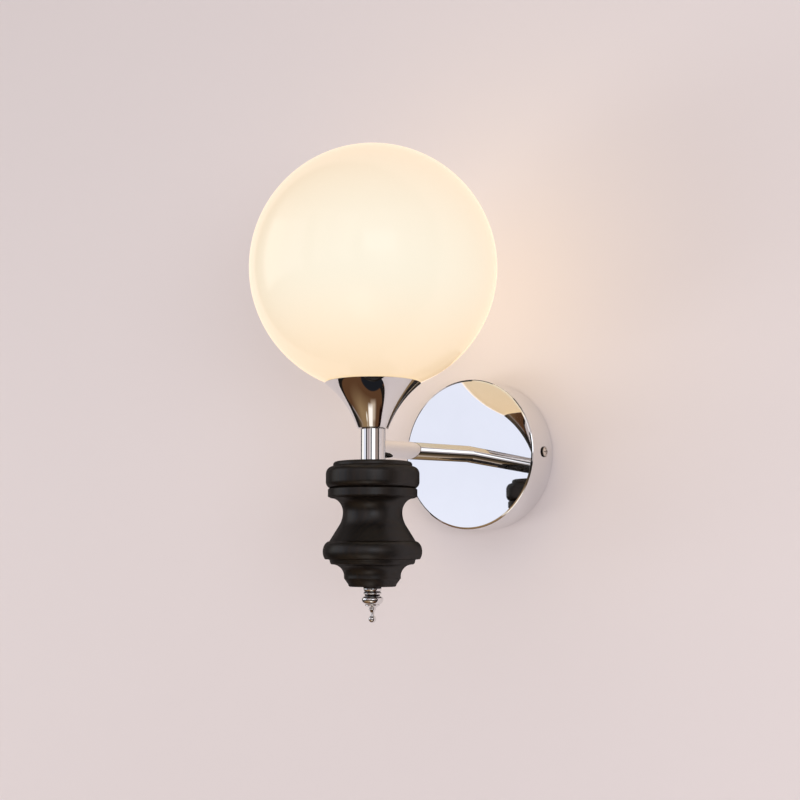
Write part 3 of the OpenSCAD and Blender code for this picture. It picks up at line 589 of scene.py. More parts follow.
flare = hollow_centre((trumpet_foot, 0), (trumpet_rim, trumpet_height), flare_r)
flare_low = seen_from((trumpet_foot, foot_rise), flare)
flare_high = seen_from((trumpet_rim, trumpet_height), flare)
outside = arc(flare, flare_r, flare_r, flare_low, flare_high, 40)
inner_high = 180 - degrees(asin((trumpet_height - flare[1]) / (flare_r + sheet)))
inside = arc(flare, flare_r + sheet, flare_r + sheet, inner_high, flare_low + 1.0, 30)
trumpet_outline = (
    softened([(bore_hole, sheet), (bore_hole, 0), (trumpet_foot - 0.1, 0, 1.1), outside[0]])[:-1]
    + outside[:-1]
    + softened([outside[-2], (outside[-1][0], trumpet_height, 0.3), inside[0]])[1:-1]
    + inside + [(inside[-1][0] - 0.6, sheet)])
trumpet_cup = turn("trumpet_cup", trumpet_outline, closed=True, steps=160)
place_on_lamp(trumpet_cup, stem_above)

# %% [markdown]
# ## Stem and arm
#
# The stem is a short upright tube. Its ends are softened as a tube is after polishing. The arm
# is a thinner tube that runs from the canopy's face, falls two degrees towards the room and ends
# in a saddle cut that fits round the stem.

# %% Stem
stem_r = width("stem") / 2
stem_wall = 1.0
stem_foot = foot("stem") - lamp_z
stem_outline = softened([
    (stem_r - stem_wall, stem_foot, 0.2), (stem_r, stem_foot, 0.3),
    (stem_r, stem_above, 0.4), (stem_r - stem_wall, stem_above, 0.2)])
stem_tube = turn("stem_tube", stem_outline, closed=True)
place_on_lamp(stem_tube, 0)

# %% Arm
arm_r = width("arm") / 2
arm_bore = 4.05
arm_level = -lamp_y - canopy_front
arm_run = arm_level / cos(radians(arm_fall))
arm_start = -1.5
past_arm = 40
arm_outline = [(arm_bore, arm_start), (arm_r, arm_start), (arm_r, arm_run), (arm_bore, arm_run)]
arm_tube = turn("arm_tube", arm_outline, closed=True, steps=96)
set_down(arm_tube, (0, -canopy_front, 0), (90 + arm_fall, 0, 0))
drill(arm_tube, (0, lamp_y, lamp_z), "z", stem_r, 60, turned_crease, vertices=192)
saw_out(arm_tube, (0, past_arm / 2 - canopy_front, 0), [past_arm] * 3)
shade(turned_crease)
report(arm_tube)

# %% [markdown]
# ## The canopy
#
# The canopy is a shallow drawn cup with a mirror-bright face. A mirror shows every fault of its
# surface, so the face is one true plane, held flat up to the two narrow slopes of its edge, and
# the rim is turned in many steps. It is open at the back, where the bracket sits.

# %% Canopy
canopy_r = width("canopy") / 2
canopy_sheet = 1.2
slope_start = 0.75
slope_break = (0.57, 0.35)
slope_end = 1.32
canopy_outline = softened([
    (bore_hole, canopy_front - canopy_sheet),
    (canopy_r - canopy_sheet, canopy_front - canopy_sheet, 0.4),
    (canopy_r - canopy_sheet, 0, 0.3),
    (canopy_r, 0, 0.4),
    (canopy_r, canopy_front - slope_start, 0.4),
    (canopy_r - slope_break[0], canopy_front - slope_break[1], 0.08),
    (canopy_r - slope_end, canopy_front, 0.12),
    (bore_hole, canopy_front)], steps=8)
canopy_cup = turn("canopy_cup", canopy_outline, closed=True, steps=256)
set_down(canopy_cup, tilt=(90, 0, 0))

side_screw_y = 12.0
screw_hole = 2.3
drill(canopy_cup, (0, -side_screw_y, 0), "x", screw_hole, 120, turned_crease)
report(canopy_cup)

# %% [markdown]
# ## The canopy's side screws
#
# Two pan-head screws hold the canopy to the bracket's ears. One head is modelled with a low dome
# and a cross recess, then copied and turned round for the other side.

# %% Side screws
def pan_screw(name, thread, length, head, height, crease=30):
    """A round screw: the head stands on zero and the thread hangs below it."""
    flatness = 1.6 * head
    dome = arc((0, -flatness), head * 0.98, height + flatness, 90, 66, 8)
    dome = [(x, z) for x, z in dome if x < head * 0.9]
    pitch = 0.7
    ridge = [(thread, -0.2)]
    for i in range(int((length - 1.6) / pitch)):
        z = -0.6 - i * pitch
        ridge += [(thread, z), (thread - 0.3, z - pitch * 0.5)]
    outline = (
        dome + softened([dome[-1], (head, height * 0.36, 0.5), (head, 0, 0.15),
                         (thread, 0)])[1:-1]
        + ridge + [(thread - 0.1, -length + 0.6), (thread - 0.6, -length), (0, -length)])
    screw = turn(name, outline, steps=64, crease=crease)
    for quarter in (0, 90):
        saw_out(screw, (0, 0, height * 0.9), (head * 1.4, head * 0.2, height), quarter)
    shade(crease)
    return screw


right_screw = pan_screw("right_side_screw", thread=2.0, length=8.0, head=3.5, height=2.2)
left_screw = twin(right_screw)
left_screw.name = "left_side_screw"
set_down(right_screw, (canopy_r, -side_screw_y, 0), (0, 90, 0))
set_down(left_screw, (-canopy_r, -side_screw_y, 0), (0, -90, 0))
report(right_screw)
report(left_screw)

# %% [markdown]
# ## Tools for sheet and block
#
# Behind the canopy most pieces are stamped sheet or small blocks: an outline is filled, pushed
# to its thickness, broken at the edges, and then drilled or sawn.

# %% Sheet and block helpers
def slab(name, outline, depth, edge=0.2):
    """Fills an (x, z) outline and pushes it toward the room, edges broken by a small bevel."""
    piece = draw(name, outline, closed=True)
    bpy.ops.mesh.remove_doubles(threshold=weld)
    bpy.ops.mesh.edge_face_add()
    bpy.ops.mesh.extrude_region_move(TRANSFORM_OT_translate={"value": (0, -depth * MM, 0)})
    bpy.ops.mesh.select_all(action="SELECT")
    bpy.ops.mesh.normals_make_consistent(inside=False)
    bpy.ops.object.mode_set(mode="OBJECT")
    rim = piece.modifiers.new("edge", "BEVEL")
    rim.width = edge * MM
    rim.segments = 2
    rim.limit_method = "ANGLE"
    rim.angle_limit = radians(50)
    bpy.ops.object.modifier_apply(modifier=rim.name)
    shade(block_crease)
    return piece


def copies(piece, places, tilt):
    """Copies a piece to each place, joins the copies into one and keeps the piece's name."""
    made = []
    for place in places:
        made.append(twin(piece))
        set_down(made[-1], place, tilt)
    name = piece.name
    bpy.data.objects.remove(piece)
    join(made[-1], *made[:-1])
    made[-1].name = name
    report(made[-1])
    return made[-1]


# %% [markdown]
# ## The wall bracket
#
# A bent steel strap is screwed to the wall through two slots, which forgive a crooked hole. Its
# middle hole lets the cable in, and its ears are tapped for the canopy's side screws. A green
# lead's ring tag sits under the earth screw.

# %% Wall bracket
strap_w = 18.0
strap_t = 1.5
tag_t = 0.8
ear_x = width("wall_bracket") / 2
ear_l = front("wall_bracket")
ear_w = 14.0
ear_cut = 10
screw_x = 15.0
slot_x = 30
slot_r = 2.5
slot_reach = 3.5
fixing_z = 4.75
cable_hole = 7.0
tapped_hole = 2.05
through = 10
bracket_outline = softened([
    (-ear_x, ear_l, 0.3), (-ear_x, 0, 1.5), (ear_x, 0, 1.5), (ear_x, ear_l, 0.3),
    (ear_x - strap_t, ear_l, 0.3), (ear_x - strap_t, strap_t, 0.3),
    (strap_t - ear_x, strap_t, 0.3), (strap_t - ear_x, ear_l, 0.3)])
wall_strap = slab("wall_strap", bracket_outline, strap_w)
set_down(wall_strap, (0, 0, strap_w / 2), (90, 0, 0))
for side in (-1, 1):
    for end in (-1, 1):
        saw_out(wall_strap, (side * (ear_x - strap_t + ear_cut / 2), -ear_l / 2,
                             end * (ear_w + ear_cut) / 2), (ear_cut, ear_l + 4, ear_cut))
    slot = slab("slot_tool", arc((slot_reach, 0), slot_r, slot_r, -90, 90, 16)
                + arc((-slot_reach, 0), slot_r, slot_r, 90, 270, 16), 6.0, edge=0.01)
    set_down(slot, (side * slot_x, 2, 0))
    cut(wall_strap, slot)
    drill(wall_strap, (-screw_x, 0, side * fixing_z), "y", 1.55, through)
drill(wall_strap, (0, 0, 0), "y", cable_hole, through)
drill(wall_strap, (screw_x, 0, 0), "y", tapped_hole, through)
drill(wall_strap, (0, -side_screw_y, 0), "x", tapped_hole, 120)
report(wall_strap)

earth_screw_turned = pan_screw("earth_screw_turned", thread=2.0, length=2.3, head=3.8, height=2.2)
set_down(earth_screw_turned, (screw_x, -strap_t - tag_t, 0), (90, 0, 0))
report(earth_screw_turned)

# %% [markdown]
# ## The terminal block
#
# Three brass tubes in a nylon body join the supply to the leads. Each tube has two clamp screws,
# and two longer screws between the ways fix the body to the strap.

# %% Terminal block
block_at = -strap_t
block_d = 13.0
way_y = block_at - block_d / 2
ways = (-9.5, 0, 9.5)
clamp_x = 2.6
screw_well = 1.8
block_w = 5.5
block_end = 14.25
terminal_body = slab("terminal_body", [
    (-block_w, -block_end), (block_w, -block_end), (block_w, block_end), (-block_w, block_end)],
    block_d, edge=0.4)
set_down(terminal_body, (-screw_x, block_at, 0))
for way in ways:
    drill(terminal_body, (-screw_x, way_y, way), "x", 2.4, 14)
    for side in (-clamp_x, clamp_x):
        drill(terminal_body, (side - screw_x, way_y - block_d / 2, way), "y", screw_well, block_d)
for side in (-fixing_z, fixing_z):
    drill(terminal_body, (-screw_x, way_y, side), "y", screw_well, 16)
    drill(terminal_body, (-screw_x, block_at - block_d, side), "y", 2.9, through)
    saw_out(terminal_body, (-screw_x, block_at - block_d, side), (14, 8, 1))
shade(block_crease)
report(terminal_body)

way_tube = turn("way_tubes", softened([
    (1.5, -4.5, 0.1), (2.3, -4.5, 0.2), (2.3, 4.5, 0.2), (1.5, 4.5, 0.1)]), closed=True, steps=48)
way_tubes = copies(way_tube, [(-screw_x, way_y, way) for way in ways], (0, 90, 0))
clamp_screws = copies(
    pan_screw("clamp_screws", thread=1.1, length=1.6, head=1.6, height=1.5),
    [(side - screw_x, way_y - 2.5, way) for way in ways for side in (-clamp_x, clamp_x)],
    (90, 0, 0))
fixing_screws = copies(
    pan_screw("fixing_screws", thread=1.5, length=9.5, head=2.7, height=1.8),
    [(-screw_x, block_at - block_d + 5, side) for side in (-fixing_z, fixing_z)], (90, 0, 0))

# %% [markdown]
# ## The stack behind the canopy's face
#
# The thin face would bend under the arm, so a thick disc spreads the load. A toothed washer, the
# earth's ring tag and a nut follow it on the hollow threaded nipple, which lets the leads pass
# into the arm.

# %% Plate, washer, nut and nipple
thread_r = 4.0
plate_t = 2.0
washer_t = 0.8
washer_r = 6.8
nut_t = 3.0
nut_r = 7.45
plate_y = canopy_front - canopy_sheet
washer_y = plate_y - plate_t
tag_y = washer_y - washer_t
nut_y = tag_y - tag_t


def on_nipple(y):
    """Height of the falling arm's axis where it passes a distance y from the wall."""
    return (canopy_front - y) * tan(radians(arm_fall))


backing_disc = turn("backing_disc", softened([
    (bore_hole, 0, 0.2), (18, 0, 0.4), (18, plate_t, 0.4), (bore_hole, plate_t, 0.2)]),
    closed=True)
set_down(backing_disc, (0, -washer_y, on_nipple(plate_y - plate_t / 2)), (90, 0, 0))
toothed_washer = turn("toothed_washer", softened([
    (bore_hole, 0, 0.1), (washer_r, 0, 0.1), (washer_r, washer_t, 0.1),
    (bore_hole, washer_t, 0.1)]), closed=True, steps=72)
for tooth in range(0, 360, 30):
    t = radians(tooth)
    saw_out(toothed_washer, (washer_r * cos(t), washer_r * sin(t), 0), (2, 1, 4), tooth)
set_down(toothed_washer, (0, -tag_y, on_nipple(washer_y - washer_t / 2)), (90, 0, 0))

hexagon = arc((0, 0), nut_r, nut_r, 0, 300, 5)
hex_nut = slab("hex_nut", hexagon, nut_t, edge=0.35)
drill(hex_nut, (0, -nut_t / 2, 0), "y", 4.15, 2 * nut_t)
set_down(hex_nut, (0, nut_t - nut_y, on_nipple(nut_y - nut_t / 2)))

nipple_back = -9.3 / cos(radians(arm_fall))
turns = [(thread_r - 0.25 * (k % 2), nipple_back + 0.5 + 0.4 * k) for k in range(50)]
nipple_outline = [(2.6, nipple_back), (thread_r - 0.4, nipple_back)] + turns + [(2.6, turns[-1][1])]
hollow_nipple = turn("hollow_nipple", nipple_outline, closed=True, steps=72)
set_down(hollow_nipple, (0, -canopy_front, 0), (90 + arm_fall, 0, 0))


# %% Ring tags of the earth lead
def ring_tag(name, hole, eye):
    """A flat eye with a tongue and a crimped barrel that point upward."""
    barrel = 1.25
    lean = degrees(asin(barrel / eye))
    tag = slab(name, [(-barrel, eye + 1.5)] + arc((0, 0), eye, eye, 90 + lean, 450 - lean, 40)
               + [(barrel, eye + 1.5)], tag_t, edge=0.1)
    drill(tag, (0, 0, 0), "y", hole, 4)
    crimp = turn("crimp", softened([
        (0.87, eye + 1, 0.1), (barrel, eye + 1, 0.15), (barrel - 0.15, eye + 3.5, 1.0),
        (barrel, eye + 6, 0.15), (0.87, eye + 6, 0.1)]), closed=True, steps=40)
    set_down(crimp, (0, -barrel, 0))
    join(tag, crimp)
    return tag


earth_ring_tags = ring_tag("earth_ring_tags", 2.1, 4.2)
set_down(earth_ring_tags, (screw_x, -strap_t, 0))
canopy_tag = ring_tag("canopy_tag", bore_hole, 7.0)
set_down(canopy_tag, (0, -tag_y, on_nipple(tag_y - tag_t / 2)), (180, -90, 0))
join(earth_ring_tags, canopy_tag)
for piece in (backing_disc, toothed_washer, hex_nut, hollow_nipple, earth_ring_tags):
    report(piece)

# %% [markdown]
# ## The tie rod
#
# One threaded rod holds both wood pieces and the finial. It shows only while the finial is
# unscrewed.

# %% Tie rod
rod_r = width("tie_rod") / 2
rod_low = foot("tie_rod")
rod_high = top("tie_rod")
rod_turns = [(rod_r - 0.25 * (k % 2), rod_low + 0.6 + 0.5 * k) for k in range(41)]
threaded_rod = turn("threaded_rod", [(0, rod_low), (rod_r - 0.5, rod_low)] + rod_turns + [
    (rod_r, rod_turns[-1][1] + 0.4), (rod_r, rod_high - 0.3), (rod_r - 0.3, rod_high),
    (0, rod_high)], steps=64)
set_down(threaded_rod, (0, lamp_y, 0))
report(threaded_rod)

# %% [markdown]
# ## The turned wood
#
# Two wood pieces hang under the stem: a low cap with a lipped top disc, and a long baluster with
# a flange, a hollow waist, a full bulge, a fillet and a hollow foot. Their outlines are written
# as a turner would read them off a template, from the top face down to the sole.

# %% Wood cap
cap_top_r = 23.5
cap_r = width("wood_cap") / 2
cap_h = 15.8
rod_hole = 3.3
seat_r = stem_r + 0.1
cap_outline = (
    softened([(seat_r, -3.0), (seat_r, 0, 0.3), (cap_top_r - 1.6, 0)])[:-1]
    + arc((cap_top_r - 1.6, -1.6), 1.6, 1.6, 90, 0, 8)
    + [(cap_top_r, -2.3), (cap_top_r + 0.15, -2.55)]
    + arc((cap_r - 3.9, -7.2), 3.9, 4.4, 86, 0, 14)
    + arc((cap_r - 3.6, 4 - cap_h), 3.6, 4.0, 0, -88, 12)
    + [(rod_hole, -cap_h), (rod_hole, -3.0)])
wood_cap_turned = turn("wood_cap_turned", cap_outline, closed=True)
cap_height = foot("wood_cap") + cap_h - lamp_z
place_on_lamp(wood_cap_turned, cap_height)

# %% Wood baluster
baluster_h = 57.4
flange_r = 26.5
flange_h = 5.5
waist_r = 17.6
bulge_r = width("wood_baluster") / 2
fillet_r = 25.1
foot_r = 16.7
sole_r = 13.2
spigot_r = 10.0
spigot_h = 3.0

cove_w = flange_r - 1.3 - waist_r
waist_z = -flange_h - 8.5
bulge_z = 20.4 - baluster_h
bead_z = bulge_z - 5.6
hollow_w = fillet_r - 1.5 - foot_r
hollow_z = bead_z - 1.9 - 6.9
baluster_outline = (
    softened([(rod_hole, spigot_h), (spigot_r, spigot_h, 0.4), (spigot_r, 0), (flange_r, 0, 0.9),
              (flange_r, 0.6 - flange_h, 0.5), (flange_r - 1.1, 0.3 - flange_h, 0.2),
              (flange_r - 1.3, -flange_h)])[1:-1]
    + arc((flange_r - 1.3, waist_z), cove_w, 8.5, 90, 180, 20)
    + arc((waist_r + 15, waist_z), 15, 15, 183, 215, 12)
    + arc((bulge_r - 4.3, bulge_z), 4.3, 6.1, 84, -47, 26)
    + softened([(bulge_r - 1.37, bulge_z - 4.46), (fillet_r + 0.3, bead_z + 0.9, 0.3),
                (fillet_r, bead_z)])[1:-1]
    + arc((fillet_r - 1.5, bead_z), 1.5, 1.9, 0, -84, 10)
    + arc((fillet_r - 1.5, hollow_z), hollow_w, 6.9, 93, 178, 18)
    + softened([(foot_r, hollow_z), (foot_r, hollow_z - 1.2, 0.5),
                (sole_r + 1, 1.4 - baluster_h)])[1:-1]
    + arc((sole_r, 1.4 - baluster_h), 1.0, 1.4, 0, -88, 6)
    + [(rod_hole, -baluster_h), (rod_hole, spigot_h)])
wood_baluster_turned = turn("wood_baluster_turned", baluster_outline, steps=144)
baluster_height = foot("wood_baluster") + baluster_h - lamp_z
place_on_lamp(wood_baluster_turned, baluster_height)

# %% [markdown]
# ## Collar and finial
#
# A grooved collar and a bulb-shaped finial end the drop. Both are small bright metal turnings.
# The finial steps from its bulb to a ring, a bead and a thin neck, and ends in a ball.

# %% Collar and finial
collar_r = width("finial_collar") / 2
collar_h = 5.4
groove_r = collar_r - 0.75
collar_outline = (
    softened([(rod_hole, 0), (collar_r - 0.5, 0, 0.2), (collar_r - 0.42, -0.2)])[:-1]
    + arc((collar_r - 1.4, -1.4), 1.4, 1.75, 44, -42, 10)
    + [(groove_r, -2.75), (groove_r, -3.1)]
    + arc((collar_r - 0.75, -3.85), 0.75, 0.7, 62, -62, 8)
    + [(groove_r - 0.3, -4.65), (groove_r - 0.3, -collar_h), (rod_hole, -collar_h)])
grooved_collar = turn("grooved_collar", collar_outline, closed=True, steps=96)
place_on_lamp(grooved_collar, top("finial_collar") - lamp_z)

finial_r = width("finial") / 2
finial_h = 15.5
bulb_z = -1.9
ring_z = -5.2
bead_z2 = -7.6
drop_r = 2.25
drop_z = drop_r - finial_h
rod_bore = 3.05
finial_outline = (
    [(0, -4.5), (rod_bore, -4.5), (rod_bore, 0)]
    + softened([(rod_bore, 0), (finial_r - 1.5, 0, 0.3), (finial_r - 1.18, -0.26)])[1:-1]
    + arc((finial_r - 1.6, bulb_z), 1.6, 1.7, 70, 0, 8)
    + arc((finial_r - 2.8, bulb_z), 2.8, 2.9, 0, -70, 14)
    + softened([(finial_r - 1.84, bulb_z - 2.73), (4.1, ring_z + 0.6, 0.1),
                (4.5, ring_z + 0.2, 0.15), (4.5, ring_z - 0.25, 0.2), (2.3, bead_z2 + 0.9, 0.3),
                (1.95, bead_z2 + 0.43)], steps=3)[1:-1]
    + arc((1.7, bead_z2), 0.5, 0.5, 60, -60, 8)
    + softened([(1.95, bead_z2 - 0.43), (1.15, bead_z2 - 1.7, 0.5),
                (1.15, drop_z + drop_r + 0.4, 0.3), (1.19, drop_z + 1.91)], steps=4)[1:-1]
    + arc((0, drop_z), drop_r, drop_r, 58, -88, 20) + [(0, drop_z - drop_r)])
drop_finial = turn("drop_finial", finial_outline, steps=96, crease=45)
place_on_lamp(drop_finial, top("finial") - lamp_z)

# %% [markdown]
# ## Finishes
#
# A surface that people handle is never perfectly even. One shared group gives each finish its
# slow drift of tone, a cloudy roughness and a fine height, all read from the piece's own
# coordinates, so that they stay put when a piece moves.

# %% The shared unevenness group
uneven, uneven_in, uneven_out = new_group(
    "surface_drift",
    [("Colour", "Color", (0.8, 0.8, 0.8, 1)), ("Drift", "Float", 0.03), ("Size", "Float", 40.0),
     ("Roughness", "Float", 0.1), ("Haze", "Float", 0.03)],
    [("Colour", "Color"), ("Roughness", "Float"), ("Height", "Float")])
spot = add_node(uneven, "TexCoord").outputs["Object"]
slow = add_node(uneven, "TexNoise", {
    "Vector": spot, "Scale": uneven_in["Size"], "Detail": 3.0}).outputs[0]
fine = add_node(uneven, "TexNoise", {"Vector": spot, "Scale": 900.0, "Detail": 2.0}).outputs[0]
swing = calculate(uneven, "MULTIPLY", calculate(uneven, "SUBTRACT", slow, 0.5), uneven_in["Drift"])
tone = calculate(uneven, "MULTIPLY_ADD", swing, 2.0, 1.0)
shaded = add_node(uneven, "VectorMath", {0: uneven_in["Colour"], "Scale": tone},
                  operation="SCALE")
feed(uneven_out, {
    "Colour": shaded.outputs[0], "Height": fine,
    "Roughness": calculate(uneven, "MULTIPLY_ADD", slow, uneven_in["Haze"],
                           uneven_in["Roughness"], clamp=True)})
relief_depth = 0.0002


def finish(name, colour, roughness, drift=0.03, haze=0.03, size=40.0, bump=0.0, **sockets):
    """A material on the shared group. Plain shader values are set on the shader's own sockets."""
    made, tree, shader = new_material(name, **sockets)
    surface = add_node(tree, "Group", {
        "Colour": colour, "Drift": drift, "Size": size, "Roughness": roughness, "Haze": haze},
        node_tree=uneven).outputs
    feed(shader, {"Base Color": surface["Colour"], "Roughness": surface["Roughness"]})
    if bump:
        relief = add_node(tree, "Bump", {
            "Strength": bump, "Distance": relief_depth, "Height": surface["Height"]})
        feed(shader, {"Normal": relief.outputs[0]})
    return made


def dress(piece, material):
    if not piece.material_slots:
        piece.data.materials.append(material)
    for slot in piece.material_slots:
        slot.material = material


# %% Metals
chrome_tone = (0.78, 0.775, 0.77)
canopy_mirror = finish("canopy_mirror", (0.86, 0.86, 0.865), 0.012, haze=0.02, metallic=1.0)
chrome = finish("polished_chrome", chrome_tone, 0.015, haze=0.02, metallic=1.0)
nickel = finish("nickel", (0.72, 0.66, 0.58), 0.2, haze=0.1, metallic=1.0)
zinc = finish("zinc_plated_steel", (0.62, 0.63, 0.64), 0.32, drift=0.12, haze=0.2, size=90,
              metallic=1.0)
brass = finish("raw_brass", (0.72, 0.50, 0.22), 0.24, drift=0.08, haze=0.15, metallic=1.0)
aluminium = finish("turned_aluminium", (0.78, 0.78, 0.79), 0.3, haze=0.1, metallic=1.0)

# %% Glass, ceramic and plastics
opal = finish("opal_glass", (0.33, 0.345, 0.36), 0.14, drift=0.01, size=6,
              emission_strength=1.0, specular_ior_level=0.3)
glow = opal.node_tree
# The glow's colour runs with height, amber at the foot of the glass and paler above it: partly the
# lamp's own glow round the bulb, partly painted light from the room falling on the upper glass.
glow_range = add_node(glow, "MapRange", {
    "Value": object_axes(glow)["Z"],
    "From Min": (lamp_z + globe_centre - globe_r) * MM,
    "From Max": (lamp_z + globe_centre + globe_r) * MM})
glow_ramp = add_node(glow, "ValToRGB", {0: glow_range.outputs[0]})
bands = glow_ramp.color_ramp
bands.interpolation = "EASE"
bands.elements[0].color = (0.715, 0.51, 0.27, 1)
bands.elements[1].color = (0.665, 0.50, 0.30, 1)
bands.elements.new(0.42).color = (0.645, 0.56, 0.385, 1)
bulb_glass = finish("frosted_bulb_glass", (0.9, 0.88, 0.82), 0.35)
ceramic = finish("glazed_ceramic", (0.82, 0.80, 0.75), 0.22, drift=0.02)
nylon = finish("terminal_nylon", (0.80, 0.78, 0.72), 0.45, bump=0.2)
silicone = finish("soft_silicone", (0.70, 0.69, 0.65), 0.6, bump=0.2)
light_board = finish("light_board_white", (0.85, 0.83, 0.74), 0.5)
brown_sleeve = finish("brown_sleeve", (0.13, 0.05, 0.02), 0.4)
blue_sleeve = finish("blue_sleeve", (0.02, 0.09, 0.35), 0.4)
green_sleeve = finish("green_sleeve", (0.10, 0.32, 0.04), 0.4)

# %% [markdown]
# ## The grain of the wood
#
# The wood is stained nearly black, yet its grain still shows: fine upright streaks, and rings
# where the lathe cut through the years of the tree. The heart of the tree lies beside the lamp,
# because a turner takes such blanks from a plank. The wax over it is thin and uneven, and its
# shine fades where the surface turns away from the eye.

# %% Grain group
grain, grain_in, grain_out = new_group(
    "wood_grain",
    [("Dark", "Color", (0.0045, 0.0035, 0.003, 1)), ("Light", "Color", (0.014, 0.009, 0.006, 1)),
     ("Heart", "Vector", (0.03, 0.12, 0.0)), ("Rings", "Float", 140.0)],
    [("Colour", "Color"), ("Wax", "Float"), ("Height", "Float")])
from_heart = add_node(grain, "VectorMath", {
    0: add_node(grain, "TexCoord").outputs["Object"], 1: grain_in["Heart"]}, operation="ADD")
stretched = (1.0, 1.0, 0.06)
upright = add_node(grain, "VectorMath", {0: from_heart.outputs[0], 1: stretched},
                   operation="MULTIPLY").outputs[0]
years = add_node(grain, "TexWave", {
    "Vector": upright, "Scale": grain_in["Rings"], "Distortion": 2.5, "Detail": 2.0,
    "Detail Scale": 1.5}, wave_type="RINGS", rings_direction="Z").outputs[1]
streaks = add_node(grain, "TexNoise", {
    "Vector": upright, "Scale": 900.0, "Detail": 4.0}).outputs[0]
figure = calculate(grain, "MULTIPLY", years, calculate(grain, "MULTIPLY", streaks, streaks))
figure = calculate(grain, "MULTIPLY", figure, 2.2, clamp=True)
feed(grain_out, {
    "Colour": mix_colour(grain, figure, grain_in["Dark"], grain_in["Light"]),
    "Wax": calculate(grain, "MULTIPLY_ADD", figure, -0.08, 0.48), "Height": streaks})

# %% Waxed wood
wood, waxed, wood_shader = new_material(
    "dark_wood", specular_ior_level=0.0, roughness=0.6, coat_ior=1.9, coat_roughness=0.36)
figured = add_node(waxed, "Group", node_tree=grain).outputs
pores = add_node(waxed, "Bump", {
    "Strength": 0.12, "Distance": relief_depth, "Height": figured["Height"]})
turned_away = add_node(waxed, "LayerWeight", {"Blend": 0.5}).outputs["Facing"]
wax_left = calculate(waxed, "MULTIPLY_ADD", turned_away, -0.8, 1.0)
feed(wood_shader, {
    "Base Color": figured["Colour"], "Normal": pores.outputs[0],
    "Coat Weight": calculate(waxed, "MULTIPLY", figured["Wax"], wax_left)})

# %% [markdown]
# ## Painted shade in hollows
#
# The grooves of the collar, and the foot and the cross of each screw head, get painted shade: a
# dark band in the base colour where shade falls. Both are found by a distance: how far a point
# stands from the lamp's axis, or from the canopy's middle.

# %% Painted shade in hollows
# painted shade: the dark colour laid into hollows where shade falls
painted_shade_colour = (0.02, 0.017, 0.015)


def paint_hollow_shade(material, distance, low, high):
    """Paints shade into a metal where the distance, in metres, is below high; fully dark below low.
    """
    tree = material.node_tree
    shader = tree.nodes["Principled BSDF"]
    unshaded_colour = shader.inputs["Base Color"].links[0].from_socket
    level = add_node(tree, "MapRange", {"Value": distance, "From Min": low, "From Max": high})
    feed(shader, {"Base Color": mix_colour(tree, level.outputs[0], painted_shade_colour, unshaded_colour)})


screw_nickel = finish("screw_nickel", (0.76, 0.70, 0.63), 0.12, haze=0.06, metallic=1.0)
screw_tree = screw_nickel.node_tree
from_middle = calculate(screw_tree, "ABSOLUTE", object_axes(screw_tree)["X"])
# painted shade round the foot of each screw head, where it sits on the canopy, and partly in its
# cross
paint_hollow_shade(screw_nickel, from_middle, (canopy_r + 0.75) * MM, (canopy_r + 1.15) * MM)

collar_chrome = finish("collar_chrome", chrome_tone, 0.015, haze=0.02, metallic=1.0)
collar_tree = collar_chrome.node_tree
x, y = object_axes(collar_tree)[:2]
off_axis = calculate(collar_tree, "SUBTRACT", y, lamp_y * MM)
squares = calculate(collar_tree, "MULTIPLY_ADD", x, x, calculate(
    collar_tree, "MULTIPLY", off_axis, off_axis))
from_axis = calculate(collar_tree, "SQRT", squares)
# painted shade in the collar's grooves and on its narrow foot
paint_hollow_shade(collar_chrome, from_axis, (groove_r + 0.05) * MM, (groove_r + 0.3) * MM)

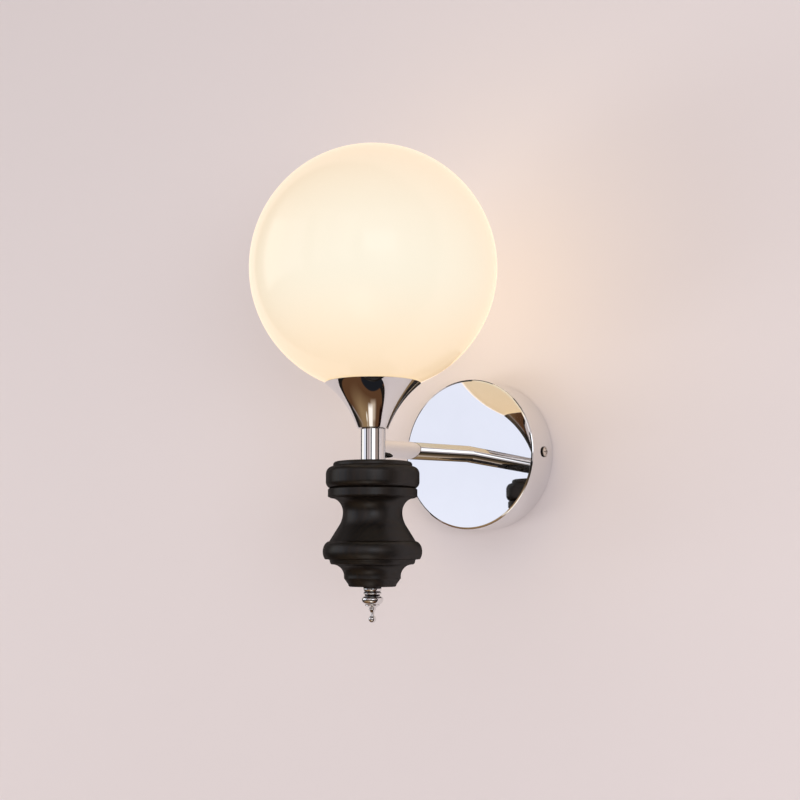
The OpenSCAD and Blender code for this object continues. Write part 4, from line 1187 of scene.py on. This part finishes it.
# %% The lit glass: warmer at its edge, and warm light on the wall
edge_glow = (0.66, 0.44, 0.22)
glow_on_wall = (1.5, 1.16, 0.57)
glass_edge = add_node(glow, "LayerWeight", {"Blend": 0.35}).outputs["Facing"]
edge_share = calculate(glow, "MULTIPLY", glass_edge, 0.7)
edge_tone = mix_colour(glow, edge_share, glow_ramp.outputs[0], edge_glow)
lights_wall = add_node(glow, "LightPath").outputs["Is Diffuse Ray"]
feed(glow.nodes["Principled BSDF"], {
    "Emission Color": mix_colour(glow, lights_wall, edge_tone, glow_on_wall)})

# %% Dress, place and hand over
dressed = [
    # body, slot, material, and the CAD node that each piece stands for
    ("globe", "opal_glass", opal, {opal_globe: "globe"}),
    ("fixture", "chrome", chrome, {trumpet_cup: "trumpet", stem_tube: "stem", arm_tube: "arm"}),
    ("fixture", "canopy_chrome", canopy_mirror, {canopy_cup: "canopy"}),
    ("canopy_screw_right", "nickel", screw_nickel, {right_screw: "canopy_screw_right"}),
    ("canopy_screw_left", "nickel", screw_nickel, {left_screw: "canopy_screw_left"}),
    ("fixture", "dark_wood", wood, {
        wood_cap_turned: "wood_cap", wood_baluster_turned: "wood_baluster"}),
    ("collar", "chrome", collar_chrome, {grooved_collar: "finial_collar"}),
    ("finial", "chrome", chrome, {drop_finial: "finial"}),
    ("fixture", "zinc_steel", zinc, {
        wall_strap: "wall_bracket", earth_screw_turned: "earth_screw",
        clamp_screws: "terminal_screws", fixing_screws: "terminal_fixings",
        backing_disc: "backing_plate", toothed_washer: "lock_washer", threaded_rod: "tie_rod"}),
    ("fixture", "terminal_nylon", nylon, {terminal_body: "terminal_block"}),
    ("fixture", "brass", brass, {
        way_tubes: "terminal_tubes", hex_nut: "canopy_nut", hollow_nipple: "canopy_nipple"}),
    ("fixture", "nickel", nickel, {earth_ring_tags: "earth_tags"}),
]
for body, slot_name, material, stands_for in dressed:
    for piece, node in stands_for.items():
        dress(piece, material)
        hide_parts(node)
        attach(piece, body)

kept_nodes = {
    "arm_end_nipple": brass, "coupler": brass, "lamp_nipple": brass, "gallery_spacer": brass,
    "gallery": aluminium, "gallery_nut": brass, "gasket": silicone, "holder_strap": zinc,
    "lampholder": ceramic, "holder_rivets": nickel, "holder_contacts": brass,
    "bulb_base": ceramic, "bulb_pins": nickel, "bulb_column": light_board,
    "bulb_envelope": bulb_glass, "lead_live": brown_sleeve, "lead_neutral": blue_sleeve,
    "lead_earth": green_sleeve,
}
for node, material in kept_nodes.items():
    dress(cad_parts[node], material)
